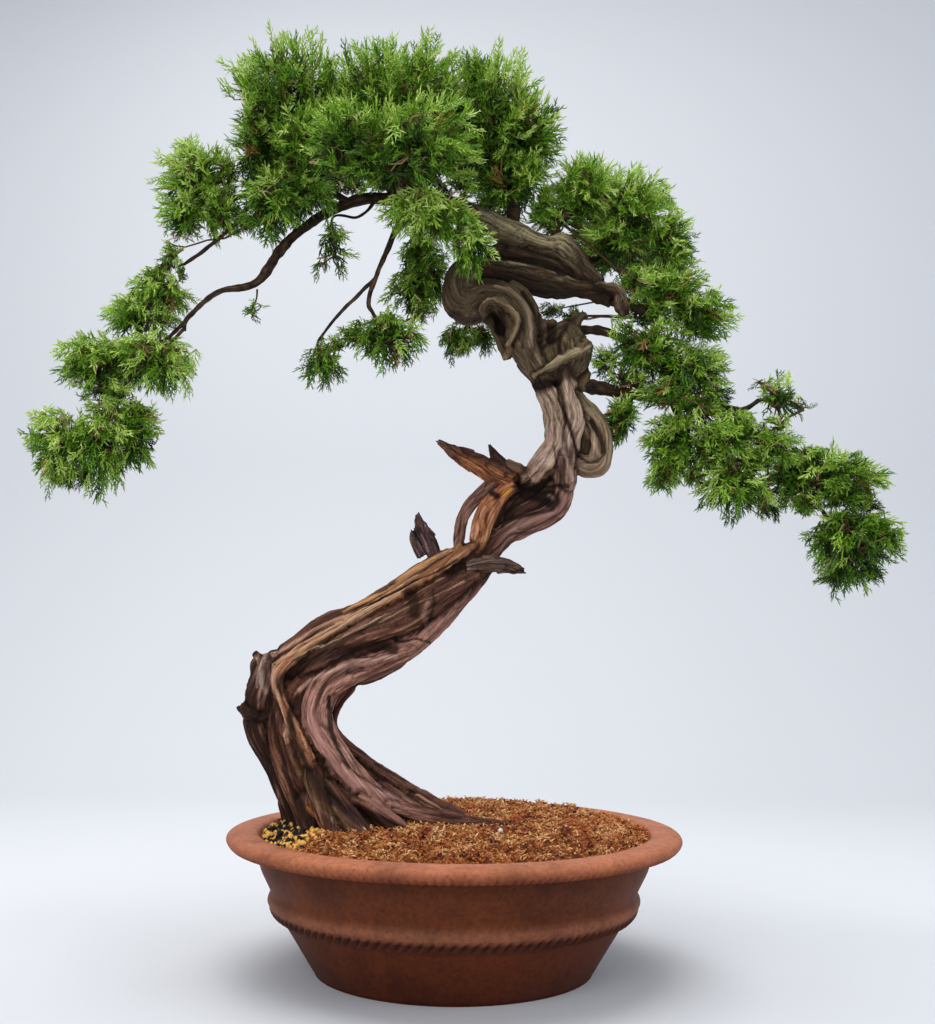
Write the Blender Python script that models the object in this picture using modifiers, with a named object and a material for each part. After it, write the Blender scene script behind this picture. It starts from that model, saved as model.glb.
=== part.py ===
"""Juniper bonsai in a round clay pot: trunk, limbs, dead wood, boughs and foliage masses as closed solids.

Metres, +Z up. The origin is at the middle of the flat underside of the pot, and -Y is the front.
The tables below are in millimetres. A wood row is (x, y, z, radius) along a limb.
"""

import math
import random

import bmesh
import bpy
from mathutils import Matrix, Vector
from mathutils.bvhtree import BVHTree

MM = 0.001
GAP = 0.40          # clearance between neighbouring solids
SEED = 11
SOUND_SHARE = 0.3   # a Boolean that leaves less than this of a body has failed

# Pot and soil: turned profiles as (radius, height) from the outside of the foot round to the inside
POT_OUTSIDE = [
    (107.0, 0.0), (112.0, 7.0), (121.9, 23.0), (132.7, 40.0), (139.0, 48.5),
    (142.4, 49.0), (143.6, 52.0), (143.2, 56.0), (142.4, 59.4), (146.4, 70.0),
    (150.6, 79.0), (153.0, 88.0), (154.0, 93.6), (167.0, 93.8), (173.4, 95.8),
    (177.4, 99.8), (177.8, 102.3), (175.2, 105.2), (169.0, 106.6), (158.0, 106.8),
]
POT_INSIDE = [(153.6, 106.2), (151.8, 104.4), (145.5, 92.0), (137.0, 60.0), (117.0, 27.0), (98.0, 12.0)]
POT_STEPS = 32
SOIL_TOP = 110.0       # the flat ground that the trunk's foot stands on
SOIL_MOUND = [(151.0, 104.0), (144.0, 108.0), (126.0, 112.6), (92.0, 115.6), (48.0, 117.0)]
SOIL_CROWN = 117.2
# A lower place in the moss to the left of the trunk: middle, half sizes and depth
HOLLOW_X, HOLLOW_Y, HOLLOW_WIDE, HOLLOW_LONG, HOLLOW_DEEP = -133.0, -34.0, 34.0, 66.0, 5.0
SEAT_MARGIN = 1.2      # room round the trunk's foot in its seat in the moss

# The trunk is a bundle of old strands that are grown together
TRUNK_STRANDS = {
    "heel": [(-113, 16, 90, 21.0), (-121, 14, 121, 19.8), (-136, 10, 154, 17.0), (-151, 6, 179, 15.9),
             (-155, 4, 197, 15.1), (-152, 4, 220, 14.8), (-148, 4, 236, 12.0)],
    "knee": [(-157, 2, 205, 9.0), (-158, 2, 222, 8.2), (-157, 2, 238, 7.0)],
    "back": [(-147, 4, 232, 11.6), (-128, 7, 243, 12.6), (-104, 8, 259, 15.2), (-66, 8, 275, 15.6),
             (-24, 6, 301, 16.6), (-5, 4, 314, 14.5), (13, 2, 320, 12.0)],
    "crest": [(-40, -58, 99, 7.4), (-78, -40, 128, 7.6), (-107, -26, 150, 6.9), (-132, -16, 197, 6.2),
              (-139, -16, 228, 6.3), (-104, -14, 256, 6.3), (-45, -14, 291, 6.3), (13, -10, 327, 5.6)],
    "cheek": [(-22, -40, 96, 11.3), (-72, -24, 140, 11.6), (-106, -14, 185, 12.5), (-106, -12, 209, 13.3),
              (-90, -10, 226, 12.6), (-36, -10, 250, 11.0), (7, -4, 295, 10.4), (33, -2, 334, 9.6),
              (51, -2, 345, 9.8), (79, -2, 360, 9.8), (86, -4, 386, 10.0), (86, -6, 402, 10.0)],
    "inner": [(42, 2, 98, 4.0), (20, 0, 110, 5.0), (-11, 0, 122, 6.4), (-32, 0, 132, 7.4),
              (-53, 0, 144, 8.2), (-93, 6, 172, 7.2), (-100, 6, 194, 7.2), (-83, 2, 220, 7.2)],
    "toe": [(34, -12, 99, 4.0), (13, -12, 108, 5.2), (-8, -12, 117, 6.2), (-32, -8, 129, 6.6)],
    "between": [(-14, -24, 97, 7.5), (-25, -20, 116, 8.0), (-41, -16, 127, 8.4), (-58, -12, 139, 7.6)],
    "under_run": [(-85, 2, 220, 6.4), (-65, 2, 226, 6.4), (-47, 2, 236, 6.4), (-31, 2, 250, 6.4)],
    "belly": [(-127, -8, 224, 7.9), (-84, -16, 253, 11.0), (-39, -14, 272, 13.4), (-20, -12, 285, 14.2),
              (16, -8, 309, 10.3)],
    "core": [(-82, -6, 90, 34.4), (-99, 0, 123, 29.9), (-130, 2, 178, 22.2), (-119, 4, 224, 20.7),
             (-68, 4, 250, 22.4), (-43, 4, 267, 22.8), (-8, 2, 295, 19.4), (14, 3, 316, 16.8),
             (29, 4, 334, 11.8)],
    "arc": [(0, 0, 324, 5.4), (2, -2, 344, 5.1), (6, -2, 357, 5.1), (13, -2, 366, 5.4),
            (23, -2, 375, 6.2), (31, -2, 381, 6.6)],
    "panel": [(16, -6, 324, 8.0), (23, -8, 354, 8.8), (38, -8, 373, 7.2), (46, -8, 378, 7.2)],
    "hollow_back": [(29, 8, 330, 10.5), (39, 12, 351, 13.0), (50, 14, 368, 14.7), (79, 8, 389, 12.2)],
    "hollow_floor": [(45, 6, 352, 10.0), (66, 6, 364, 11.0), (80, 4, 377, 11.0)],
    "jin_root": [(31, 5, 389, 5.0), (45, 6, 384, 8.5), (61, 6, 380, 10.0)],
    "brow": [(37, -2, 394, 6.4), (57, -4, 387, 7.2), (67, -4, 392, 8.8)],
    "left": [(56, -4, 383, 9.0), (68, -4, 395, 11.0), (79, -4, 411, 11.0), (79, -4, 424, 10.6),
             (77, -4, 442, 10.5), (64, -6, 470, 11.3)],
    "middle": [(87, -6, 379, 8.8), (89, -8, 414, 8.8), (93, -8, 432, 8.8), (86, -4, 462, 9.7),
               (86, -2, 476, 13.0)],
    "loop": [(94, -4, 451, 7.3), (112, -4, 427, 8.9), (114, -4, 401, 10.4), (107, -4, 394, 9.6),
             (96, -4, 396, 8.8)],
    "loop_floor": [(103, 5, 398, 8.0), (106, 5, 420, 9.0), (101, 5, 446, 8.0)],
    "spine": [(80, 6, 398, 11.3), (80, 8, 449, 13.0), (78, 8, 471, 18.0), (73, 8, 492, 19.6),
              (65, 8, 511, 14.8)],
    "ridge": [(69, -6, 460, 10.5), (50, -10, 493, 13.7), (50, -10, 508, 13.7), (36, -10, 528, 13.7),
              (22, -10, 531, 14.5), (7, -8, 525, 17.8), (2, -4, 536, 16.2), (5, 4, 552, 14.7),
              (12, 8, 560, 12.3)],
    "column": [(67, -2, 472, 8.0), (58, -2, 497, 8.6), (58, -2, 515, 9.2), (50, -2, 531, 9.4),
               (38, 0, 541, 8.0)],
    "under": [(42, -2, 482, 6.5), (31, 0, 508, 6.5), (24, 0, 517, 7.3)],
    "comma": [(21, -22, 511, 3.2), (19, -24, 518, 4.0), (27, -24, 522, 4.0), (47, -24, 506, 4.0),
              (39, -20, 486, 3.2)],
    "shelf": [(59, -16, 464, 3.2), (84, -20, 477, 4.0), (95, -20, 482, 4.0), (104, -14, 491, 4.0)],
    "stub": [(84, 0, 468, 13.0), (92, 0, 484, 16.2), (91, 0, 498, 14.6), (95, -2, 512, 6.5),
             (103, -2, 519, 4.9)],
    "lip": [(64, -6, 492, 6.5), (82, -4, 504, 7.3), (90, -2, 507, 7.3)],
    "collar": [(94, 2, 488, 8.0), (98, 4, 472, 8.4), (95, 2, 457, 8.0)],
    "knee_stub": [(-163, 4, 243, 5.0), (-149, 4, 230, 7.0)],
    "heel_stub": [(-170, -2, 202, 5.2), (-167, -2, 197, 6.8), (-155, -2, 193, 10.2)],
    "foot_heel": [(-122, -2, 152, 10.0), (-113, -18, 130, 11.0), (-108, -32, 112, 10.0), (-104, -40, 98, 8.0)],
    "foot_left": [(-110, -20, 152, 10.0), (-99, -42, 130, 11.0), (-91, -60, 113, 9.5), (-86, -70, 98, 7.5)],
    "foot_front": [(-98, -32, 142, 8.0), (-82, -56, 125, 9.0), (-67, -75, 112, 8.5), (-57, -86, 98, 6.5)],
    "foot_mid": [(-72, -40, 132, 8.0), (-52, -56, 121, 9.0), (-36, -68, 111, 8.0), (-27, -74, 98, 6.0)],
    "root": [(-47, -34, 126, 8.5), (-17, -42, 117, 7.5), (10, -46, 112, 5.5), (30, -48, 107, 3.4)],
    "web": [(-80, -2, 154, 7.0), (-64, -2, 142, 8.0), (-48, -4, 131, 8.0)],
}
TRUNK_VOXEL = 2.4
SLIVER = 0.12                 # corners of the trunk nearer than this are joined
TRUNK_TRIANGLES = 2320
WOOD_TRIANGLES = {"limb_lower": 380, "jin_left": 250, "jin_upright": 150, "jin_right": 120,
                  "bough_right_long": 140}

# Thick living limbs and the bare dead ones: name, material, tubes
LIMBS = [
    ("limb_lower", "bark", [
        [(15, 10, 558, 10.7), (47, 12, 554, 12.4), (65, 10, 549, 13.2), (83, 8, 544, 10.7),
         (101, 4, 541, 8.2), (115, 2, 537, 9.8), (125, 0, 531, 8.1)],
        [(113, -4, 540, 5.7), (127, -12, 535, 5.6), (130, -14, 524, 6.4), (133, -14, 514, 4.0)],
        [(20, 10, 572, 4.6), (34, 8, 574, 5.6), (55, 8, 569, 6.2), (77, 8, 562, 6.2), (96, 8, 552, 5.0)],
    ]),
    ("limb_upper", "bark", [
        [(114, 2, 544, 7.4), (104, 4, 553, 8.2), (94, 6, 566, 10.7), (83, 6, 576, 11.5), (68, 6, 578, 9.0),
         (38, 8, 590, 11.5), (23, 10, 598, 10.7), (-27, 14, 618, 9.1), (-48, 14, 624, 7.6),
         (-58, 10, 640, 5.4)],
    ]),
    ("jin_left", "deadwood", [
        [(-17, -4, 413, 1.8), (-7, -4, 407, 4.0), (6, -4, 400, 6.0), (30, -4, 388, 9.6), (43, -4, 381, 9.6)],
        [(26, -4, 409, 1.6), (30, -4, 401, 4.0), (38, -4, 392, 5.6)],
    ]),
    ("jin_upright", "deadwood", [
        [(-33, 4, 355, 1.8), (-31, 4, 347, 4.2), (-27, 4, 339, 5.8), (-22, 4, 329, 6.2), (-17, 4, 313, 6.0)],
        [(-36, 4, 341, 2.0), (-34, 4, 334, 4.0), (-27, 4, 321, 4.8)],
    ]),
    ("jin_right", "deadwood", [[(53, -14, 309, 2.8), (45, -14, 311, 5.0), (34, -14, 313, 5.6),
                                (21, -12, 313, 6.2), (8, -10, 311, 5.2)]]),
]

# Boughs: each starts inside its parent and is cut clear of it
BOUGHS = [
    ("bough_left", [(-48, 16, 620, 6.7), (-91, 10, 614, 5.4), (-132, -2, 585, 4.4), (-149, -8, 563, 4.9),
                    (-164, -12, 540, 3.9), (-196, -16, 529, 2.6), (-217, -16, 509, 2.2),
                    (-221, -16, 499, 1.9)]),
    ("bough_crown_left", [(-48, 14, 622, 5.8), (-71, 8, 634, 5.4), (-112, -4, 656, 4.1)]),
    ("bough_crown_right", [(41, 8, 593, 6.6), (43, 4, 611, 5.8), (34, -4, 642, 4.1)]),
    ("bough_front", [(12, 6, 603, 5.8), (0, -16, 605, 4.8), (-11, -40, 600, 3.9)]),
    ("bough_front_high", [(-22, 10, 614, 5.8), (-32, -22, 605, 4.8), (-46, -62, 608, 3.9)]),
    ("bough_back", [(-8, 12, 612, 5.8), (-18, 46, 639, 5.1), (-34, 74, 666, 4.4)]),
    ("bough_low_left", [(-91, 10, 614, 4.1), (-106, -6, 615, 3.7), (-119, -20, 609, 3.2)]),
    ("bough_cloud", [(-99, 8, 609, 4.1), (-128, 2, 621, 3.6), (-159, -10, 616, 3.3), (-184, -16, 608, 2.7)]),
    ("bough_fork", [(-165, -11, 615, 2.9), (-180, -16, 588, 2.4), (-207, -18, 563, 2.1),
                    (-222, -18, 552, 1.8)]),
    ("bough_drop", [(-216, -16, 510, 2.2), (-233, -18, 492, 2.1), (-255, -20, 475, 1.9),
                    (-269, -20, 439, 1.6)]),
    ("twig_hang", [(-72, 13, 615, 2.0), (-84, 6, 600, 1.7), (-102, 0, 599, 1.5), (-107, -4, 588, 1.3)]),
    ("bough_hang", [(-46, 14, 620, 3.8), (-51, 0, 592, 3.4), (-63, -14, 556, 2.6), (-73, -16, 525, 2.2),
                    (-69, -16, 513, 2.1)]),
    ("bough_hang_fork", [(-68, -16, 543, 2.2), (-92, -20, 517, 1.9), (-111, -20, 493, 1.6),
                         (-112, -20, 483, 1.4)]),
    ("bough_mid", [(-25, 16, 615, 3.8), (-30, 24, 600, 3.4), (-35, 28, 588, 2.9)]),
    ("bough_under", [(7, 8, 532, 4.1), (8, 26, 528, 3.3), (6, 34, 516, 2.9)]),
    ("bough_right_up", [(81, 6, 577, 5.8), (79, 8, 595, 5.0), (100, 14, 617, 4.2)]),
    ("bough_right_mid", [(122, 2, 533, 6.5), (136, 2, 528, 5.3), (151, 0, 521, 4.4)]),
    ("bough_right_low", [(97, 2, 506, 4.9), (114, 6, 507, 4.6), (132, 6, 501, 4.1), (146, 4, 491, 3.6)]),
    ("bough_right_long", [(93, 2, 462, 8.0), (120, 6, 458, 5.8), (150, 8, 453, 4.6), (212, -2, 443, 2.9),
                          (227, -6, 440, 2.4), (241, -8, 448, 2.1)]),
    ("bough_under_right", [(138, 6, 455, 3.2), (139, 6, 447, 2.8), (137, 6, 440, 2.5)]),
    ("bough_trail", [(172, 5, 450, 3.6), (180, 2, 433, 3.2), (186, 0, 420, 2.7)]),
    ("bough_end", [(204, 0, 444, 3.2), (229, -4, 425, 3.1), (257, -8, 408, 2.7), (282, -8, 395, 2.4)]),
    ("bough_droop", [(270, -8, 402, 2.6), (291, -10, 358, 2.2), (299, -10, 349, 2.1)]),
    ("bough_back_right", [(98, 6, 564, 5.8), (118, 44, 575, 5.1), (131, 74, 592, 4.4)]),
]

# Foliage masses: name, limb that carries it, dense, lift of the shoots, lobes as (x, y, z, rx, ry, rz)
MASSES = [
    ("crown_left", "bough_crown_left", True, 0.30,
     [(-142, -5, 699, 44, 62, 46), (-168, 0, 657, 20, 48, 41), (-121, -10, 649, 33, 60, 36)]),
    ("crown_mid", "limb_upper", True, 0.30,
     [(-68, -10, 693, 38, 66, 46), (-27, -8, 689, 36, 66, 49), (-52, -10, 644, 42, 56, 29)]),
    ("crown_right", "bough_crown_right", True, 0.20,
     [(26, -4, 683, 35, 60, 48), (59, 2, 667, 25, 48, 41), (39, 2, 626, 33, 50, 26)]),
    ("crown_front", "bough_front", True, -0.50,
     [(-38, -62, 580, 26, 26, 19), (-12, -68, 570, 31, 28, 21), (10, -62, 555, 18, 22, 26)]),
    ("crown_front_high", "bough_front_high", True, 0.10,
     [(-84, -92, 628, 39, 32, 33), (-24, -92, 630, 41, 34, 35)]),
    ("crown_back", "bough_back", True, 0.20,
     [(-30, 86, 700, 54, 46, 48), (-112, 84, 700, 52, 46, 45), (-158, 66, 656, 38, 38, 36),
      (40, 80, 672, 38, 42, 40)]),
    ("crown_low_left", "bough_low_left", True, -0.40,
     [(-156, -18, 601, 26, 42, 31), (-122, -30, 602, 25, 34, 24)]),
    ("cloud_left", "bough_cloud", True, -0.10,
     [(-214, -16, 622, 34, 46, 32), (-221, -20, 589, 21, 34, 22), (-190, -16, 596, 16, 36, 27)]),
    ("drop_upper", "bough_fork", True, -0.50,
     [(-236, -18, 554, 12, 18, 16), (-241, -14, 524, 26, 38, 18), (-264, -14, 506, 22, 36, 18)]),
    ("drop_mid", "bough_left", True, -0.40,
     [(-248, -10, 471, 35, 48, 27), (-292, -16, 469, 32, 44, 24)]),
    ("drop_low", "bough_drop", True, -0.50,
     [(-286, -14, 402, 22, 42, 38), (-319, -18, 403, 24, 38, 35), (-255, -6, 419, 18, 36, 32)]),
    ("spray_hang", "twig_hang", False, -0.60, [(-102, -8, 563, 21, 20, 23)]),
    ("drop_left", "bough_hang_fork", True, -0.40, [(-108, -20, 467, 22, 22, 17)]),
    ("drop_right", "bough_hang", True, -0.50, [(-53, -16, 489, 29, 30, 24), (-87, -10, 493, 18, 22, 14)]),
    ("hang_mid", "bough_mid", True, -0.60, [(-34, 28, 569, 21, 26, 20), (-38, 30, 539, 25, 26, 25)]),
    ("under_bulb", "bough_under", True, -0.50, [(-6, 36, 499, 18, 20, 17), (23, 36, 508, 17, 20, 17)]),
    ("right_upper", "bough_right_up", True, 0.10,
     [(104, 20, 629, 35, 46, 28), (145, 10, 610, 34, 52, 33), (175, 5, 578, 20, 36, 30),
      (125, 34, 591, 29, 34, 29)]),
    ("right_mid", "bough_right_mid", True, -0.10, [(169, 0, 540, 33, 40, 21), (198, 0, 517, 29, 40, 24)]),
    ("right_low", "bough_right_low", True, -0.20,
     [(153, 2, 489, 34, 42, 28), (190, 2, 471, 32, 40, 26)]),
    ("right_under", "bough_under_right", True, -0.30, [(130, 6, 434, 19, 26, 22)]),
    ("right_trail", "bough_trail", True, -0.40,
     [(172, 0, 412, 27, 34, 27), (168, 0, 387, 20, 26, 17), (210, -4, 407, 29, 38, 27),
      (222, -6, 373, 32, 32, 27)]),
    ("spray_right", "bough_right_long", False, -0.20, [(258, -10, 447, 19, 22, 27)]),
    ("end_upper", "bough_end", True, 0.05, [(306, -10, 383, 32, 42, 27), (267, 12, 386, 22, 36, 30)]),
    ("end_droop", "bough_droop", True, -0.40, [(313, -8, 330, 35, 40, 37), (341, -4, 337, 18, 28, 21)]),
    ("right_back", "bough_back_right", True, 0.10, [(128, 92, 622, 48, 42, 42), (172, 86, 585, 34, 38, 34)]),
]

# The growth rule's sizes
SPRAYS_DENSE = 6.0         # sprays on a dense lobe of 30 mm mean radius
TWIGS_OPEN = 2.3           # twigs in an open lobe of that size, each with three sprays
CORE_SHARE = 0.68          # a dense mass's core against its lobe
CORE_HOLLOWS, CORE_CRESTS = 0.74, 1.30    # how far the core's surface goes in and out, as shares
LEAF_SHORTEST, LEAF_LONGEST = 23.0, 36.0
LEAF_THICK = 0.055         # half thickness against length
LEAF_SIDE_ANGLE = 42.0
# One spray blade: three toothed fingers in outline, as (along, across) shares of its length
LEAF_OUTLINE = [
    (1.0, 0.0), (0.54, 0.14), (0.70, 0.44), (0.0, 0.09), (0.0, -0.09), (0.70, -0.44), (0.54, -0.14),
]
LEAF_MIDDLE = 0.36
TWIG_RADIUS = 1.5
TRIANGLES_PER_PIECE = 14
TRIANGLES_PER_CORE = 62

COLOURS = {
    "terracotta": ((0.36, 0.150, 0.085), 0.75),
    "moss_soil": ((0.24, 0.120, 0.035), 0.95),
    "bark": ((0.150, 0.095, 0.070), 0.85),
    "deadwood": ((0.30, 0.170, 0.095), 0.80),
    "foliage": ((0.075, 0.200, 0.030), 0.60),
}


def clear_scene():
    for old in list(bpy.data.objects):
        bpy.data.objects.remove(old, do_unlink=True)


def make_material(name):
    (red, green, blue), roughness = COLOURS[name]
    material = bpy.data.materials.new(name)
    material.use_nodes = True
    shader = material.node_tree.nodes["Principled BSDF"]
    shader.inputs["Base Color"].default_value = (red, green, blue, 1.0)
    shader.inputs["Roughness"].default_value = roughness
    shader.inputs["Metallic"].default_value = 0.0
    material.diffuse_color = (red, green, blue, 1.0)
    return material


def make_collection(name, helper=False):
    made = bpy.data.collections.new(name)
    bpy.context.scene.collection.children.link(made)
    made.hide_render = helper
    return made


def evaluated_mesh(obj):
    """A plain mesh of the object with its modifiers applied and its seams welded."""
    bpy.context.view_layer.update()
    graph = bpy.context.evaluated_depsgraph_get()
    mesh = bpy.data.meshes.new_from_object(obj.evaluated_get(graph), depsgraph=graph)
    shape = bmesh.new()
    shape.from_mesh(mesh)
    bmesh.ops.remove_doubles(shape, verts=shape.verts, dist=1e-6)
    bmesh.ops.recalc_face_normals(shape, faces=shape.faces)
    shape.to_mesh(mesh)
    shape.free()
    return mesh


def drop_object(obj):
    bpy.data.objects.remove(obj, do_unlink=True)


def mesh_object(name, mesh, home):
    mesh.name = name
    obj = bpy.data.objects.new(name, mesh)
    home.objects.link(obj)
    return obj


def smooth_path(points, steps=3):
    """The same path through its control points with more points between them, on a Catmull-Rom curve."""
    rows = [Vector(p) for p in points]
    if len(rows) < 3:
        return rows
    ends = [2 * rows[0] - rows[1]] + rows + [2 * rows[-1] - rows[-2]]
    out = []
    for a, b, c, d in zip(ends, ends[1:], ends[2:], ends[3:]):
        for step in range(steps):
            t = step / steps
            out.append(0.5 * (2 * b + (c - a) * t + (2 * a - 5 * b + 4 * c - d) * t * t
                              + (3 * b - a - 3 * c + d) * t * t * t))
    out.append(rows[-1])
    return out


def tube_mesh(points, resolution=3):
    """A closed tube with its own radius at each point."""
    curve = bpy.data.curves.new("tube", "CURVE")
    curve.dimensions = "3D"
    curve.bevel_depth = MM
    curve.bevel_resolution = resolution
    curve.use_fill_caps = True
    spline = curve.splines.new("POLY")
    spline.points.add(len(points) - 1)
    for target, (x, y, z, radius) in zip(spline.points, points):
        target.co = (x * MM, y * MM, z * MM, 1.0)
        target.radius = radius
    obj = bpy.data.objects.new("tube", curve)
    helpers.objects.link(obj)
    mesh = evaluated_mesh(obj)
    drop_object(obj)
    bpy.data.curves.remove(curve)
    return mesh


def turned_mesh(profile, steps):
    """A closed profile, given as (radius, height) from the axis round to the axis, turned about Z."""
    mesh = bpy.data.meshes.new("profile")
    shape = bmesh.new()
    corners = [shape.verts.new((r * MM, 0.0, z * MM)) for r, z in profile]
    for a, b in zip(corners, corners[1:]):
        shape.edges.new((a, b))
    shape.to_mesh(mesh)
    shape.free()
    obj = bpy.data.objects.new("profile", mesh)
    helpers.objects.link(obj)
    screw = obj.modifiers.new("turn", "SCREW")
    screw.axis = "Z"
    screw.steps = steps
    screw.render_steps = steps
    screw.use_merge_vertices = True
    screw.merge_threshold = 0.00002
    made = evaluated_mesh(obj)
    drop_object(obj)
    return made


def joined_mesh(meshes):
    shape = bmesh.new()
    for mesh in meshes:
        shape.from_mesh(mesh)
    made = bpy.data.meshes.new("joined")
    shape.to_mesh(made)
    shape.free()
    return made


def largest_body(mesh):
    """Drops every loose scrap: only faces that share whole edges with the largest body stay."""
    shape = bmesh.new()
    shape.from_mesh(mesh)
    left = set(shape.faces)
    bodies = []
    while left:
        start = left.pop()
        body, queue = [start], [start]
        while queue:
            for edge in queue.pop().edges:
                if len(edge.link_faces) != 2:
                    continue
                for face in edge.link_faces:
                    if face in left:
                        left.discard(face)
                        body.append(face)
                        queue.append(face)
        bodies.append(body)
    bodies.sort(key=len)
    for body in bodies[:-1]:
        bmesh.ops.delete(shape, geom=body, context="FACES")
    shape.to_mesh(mesh)
    shape.free()
    return mesh


def volume_of(mesh):
    shape = bmesh.new()
    shape.from_mesh(mesh)
    volume = shape.calc_volume()
    shape.free()
    return volume


def boolean_mesh(mesh, cutters, operation, solvers=("EXACT", "MANIFOLD")):
    """The mesh joined with, or cut by, all the cutter meshes, by the first solver that leaves it whole."""
    if not cutters:
        return mesh
    least = volume_of(mesh) * SOUND_SHARE
    pieces = bpy.data.collections.new("pieces")
    helpers.children.link(pieces)
    for number, cutter in enumerate(cutters):
        mesh_object(f"piece_{number}", cutter, pieces)
    for solver in solvers:
        obj = mesh_object("work", mesh.copy(), helpers)
        step = obj.modifiers.new("boolean", "BOOLEAN")
        step.operation = operation
        step.solver = solver
        step.operand_type = "COLLECTION"
        step.collection = pieces
        made = largest_body(evaluated_mesh(obj))
        drop_object(obj)
        if len(made.polygons) and is_closed(made) and volume_of(made) > least:
            break
    for piece in list(pieces.objects):
        drop_object(piece)
    bpy.data.collections.remove(pieces)
    return made


def grown_out(mesh, distance):
    """A copy of the mesh with its surface moved out along its normals."""
    copy = mesh.copy()
    shape = bmesh.new()
    shape.from_mesh(copy)
    shape.normal_update()
    moved = [vert.co + vert.normal * (distance * MM * vert.calc_shell_factor()) for vert in shape.verts]
    for vert, place in zip(shape.verts, moved):
        vert.co = place
    shape.to_mesh(copy)
    shape.free()
    return copy


def tree_of(mesh):
    shape = bmesh.new()
    shape.from_mesh(mesh)
    made = BVHTree.FromBMesh(shape)
    shape.free()
    return made


def box_of(mesh):
    xs, ys, zs = zip(*(vert.co for vert in mesh.vertices))
    return (min(xs), min(ys), min(zs)), (max(xs), max(ys), max(zs))


def boxes_meet(one, other):
    return all(one[0][k] <= other[1][k] and other[0][k] <= one[1][k] for k in range(3))


def skinned(mesh, voxel, share):
    """One closed skin over a mesh that may cross itself, with this share of its faces kept."""
    obj = mesh_object("skin", mesh, helpers)
    remesh = obj.modifiers.new("skin", "REMESH")
    remesh.mode = "VOXEL"
    remesh.voxel_size = voxel * MM
    fewer = obj.modifiers.new("fewer", "DECIMATE")
    fewer.ratio = share
    made = largest_body(evaluated_mesh(obj))
    drop_object(obj)
    return made


class Placed:
    """A finished solid with what the clearance tests need: its box and its surface grown out by the gap."""

    def __init__(self, name, mesh, folded=False):
        self.name = name
        self.mesh = mesh
        self.bare_tree = tree_of(mesh)
        self.grown = skinned(grown_out(mesh, GAP), 1.5, 0.12) if folded else grown_out(mesh, GAP)
        self.box = box_of(self.grown)
        self.tree = tree_of(self.grown)

    def touches(self, mesh, box, tree):
        if not boxes_meet(self.box, box):
            return False
        return bool(self.tree.overlap(tree)) or self.holds(mesh.vertices[0].co)

    def holds(self, point):
        """Whether the point is inside, from how often a ray out of it crosses the surface."""
        start, ray, crossed = point.copy(), Vector((0.31, 0.17, 0.93)).normalized(), 0
        while crossed < 40:
            place, _, _, _ = self.tree.ray_cast(start, ray)
            if place is None:
                break
            crossed += 1
            start = place + ray * 1e-6
        return crossed % 2 == 1


def cut_clear(mesh, placed):
    """Cuts the mesh clear of every finished solid that it meets, and keeps the largest body."""
    for other in placed:
        if not other.touches(mesh, box_of(mesh), tree_of(mesh)):
            continue
        mesh = boolean_mesh(mesh, [other.grown.copy()], "DIFFERENCE", ("MANIFOLD", "EXACT"))
        mesh = freed(mesh, [other])
    return mesh


def freed(mesh, placed):
    """Cuts again, a little wider each time, wherever the mesh still crosses a finished solid."""
    for other in placed:
        if not boxes_meet(other.box, box_of(mesh)):
            continue
        for wider in (0.8, 1.3, 1.6, 2.0):
            if not other.bare_tree.overlap(tree_of(mesh)):
                break
            mesh = boolean_mesh(mesh, [grown_out(other.mesh, GAP * wider)], "DIFFERENCE")
    return mesh


def finish(name, mesh, material):
    mesh.materials.clear()
    mesh.materials.append(materials[material])
    for face in mesh.polygons:
        face.use_smooth = False
    return mesh_object(name, mesh, plant)


def outline_round(points):
    """The convex outline of (x, y) points, anticlockwise."""
    ordered = sorted(set(points))

    def half(row):
        kept = []
        for point in row:
            while len(kept) > 1:
                (ax, ay), (bx, by) = kept[-2], kept[-1]
                if (bx - ax) * (point[1] - ay) - (by - ay) * (point[0] - ax) > 0:
                    break
                kept.pop()
            kept.append(point)
        return kept[:-1]

    return half(ordered) + half(ordered[::-1])


def seat_mesh(foot, top):
    """A block with the outline of the trunk's foot, a little wider, from the ground up."""
    low = [(v.co.x / MM, v.co.y / MM) for v in foot.vertices if v.co.z < top * MM]
    outline = outline_round([(round(x), round(y)) for x, y in low])
    middle_x = sum(x for x, _ in outline) / len(outline)
    middle_y = sum(y for _, y in outline) / len(outline)
    corners = []
    for x, y in outline:
        out = Vector((x - middle_x, y - middle_y)).normalized() * SEAT_MARGIN
        corners.append((x + out.x, y + out.y))
    shape = bmesh.new()
    floor = [shape.verts.new((x * MM, y * MM, SOIL_TOP * MM)) for x, y in corners]
    lid = [shape.verts.new((x * MM, y * MM, (top + 10.0) * MM)) for x, y in corners]
    shape.faces.new(floor[::-1])
    shape.faces.new(lid)
    for number in range(len(corners)):
        after = (number + 1) % len(corners)
        shape.faces.new((floor[number], floor[after], lid[after], lid[number]))
    mesh = bpy.data.meshes.new("seat")
    shape.to_mesh(mesh)
    shape.free()
    return mesh


def soil_mesh():
    """The turned body of soil with its low mound of moss, lower beside the trunk."""
    profile = [(0.0, 12.4), (97.6, 12.4), (116.5, 27.4), (136.5, 60.0), (145.0, 92.0)]
    profile += SOIL_MOUND + [(0.0, SOIL_CROWN)]
    mesh = turned_mesh(profile[::-1], POT_STEPS)
    for vert in mesh.vertices:
        if vert.co.z < (SOIL_MOUND[0][1] + 1.0) * MM:
            continue
        across = (vert.co.x / MM - HOLLOW_X) / HOLLOW_WIDE
        along = (vert.co.y / MM - HOLLOW_Y) / HOLLOW_LONG
        share = max(0.0, min(1.0, 1.35 - math.hypot(across, along)))
        vert.co.z = max(vert.co.z - HOLLOW_DEEP * share * MM, SOIL_MOUND[0][1] * MM)
    return mesh


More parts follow.
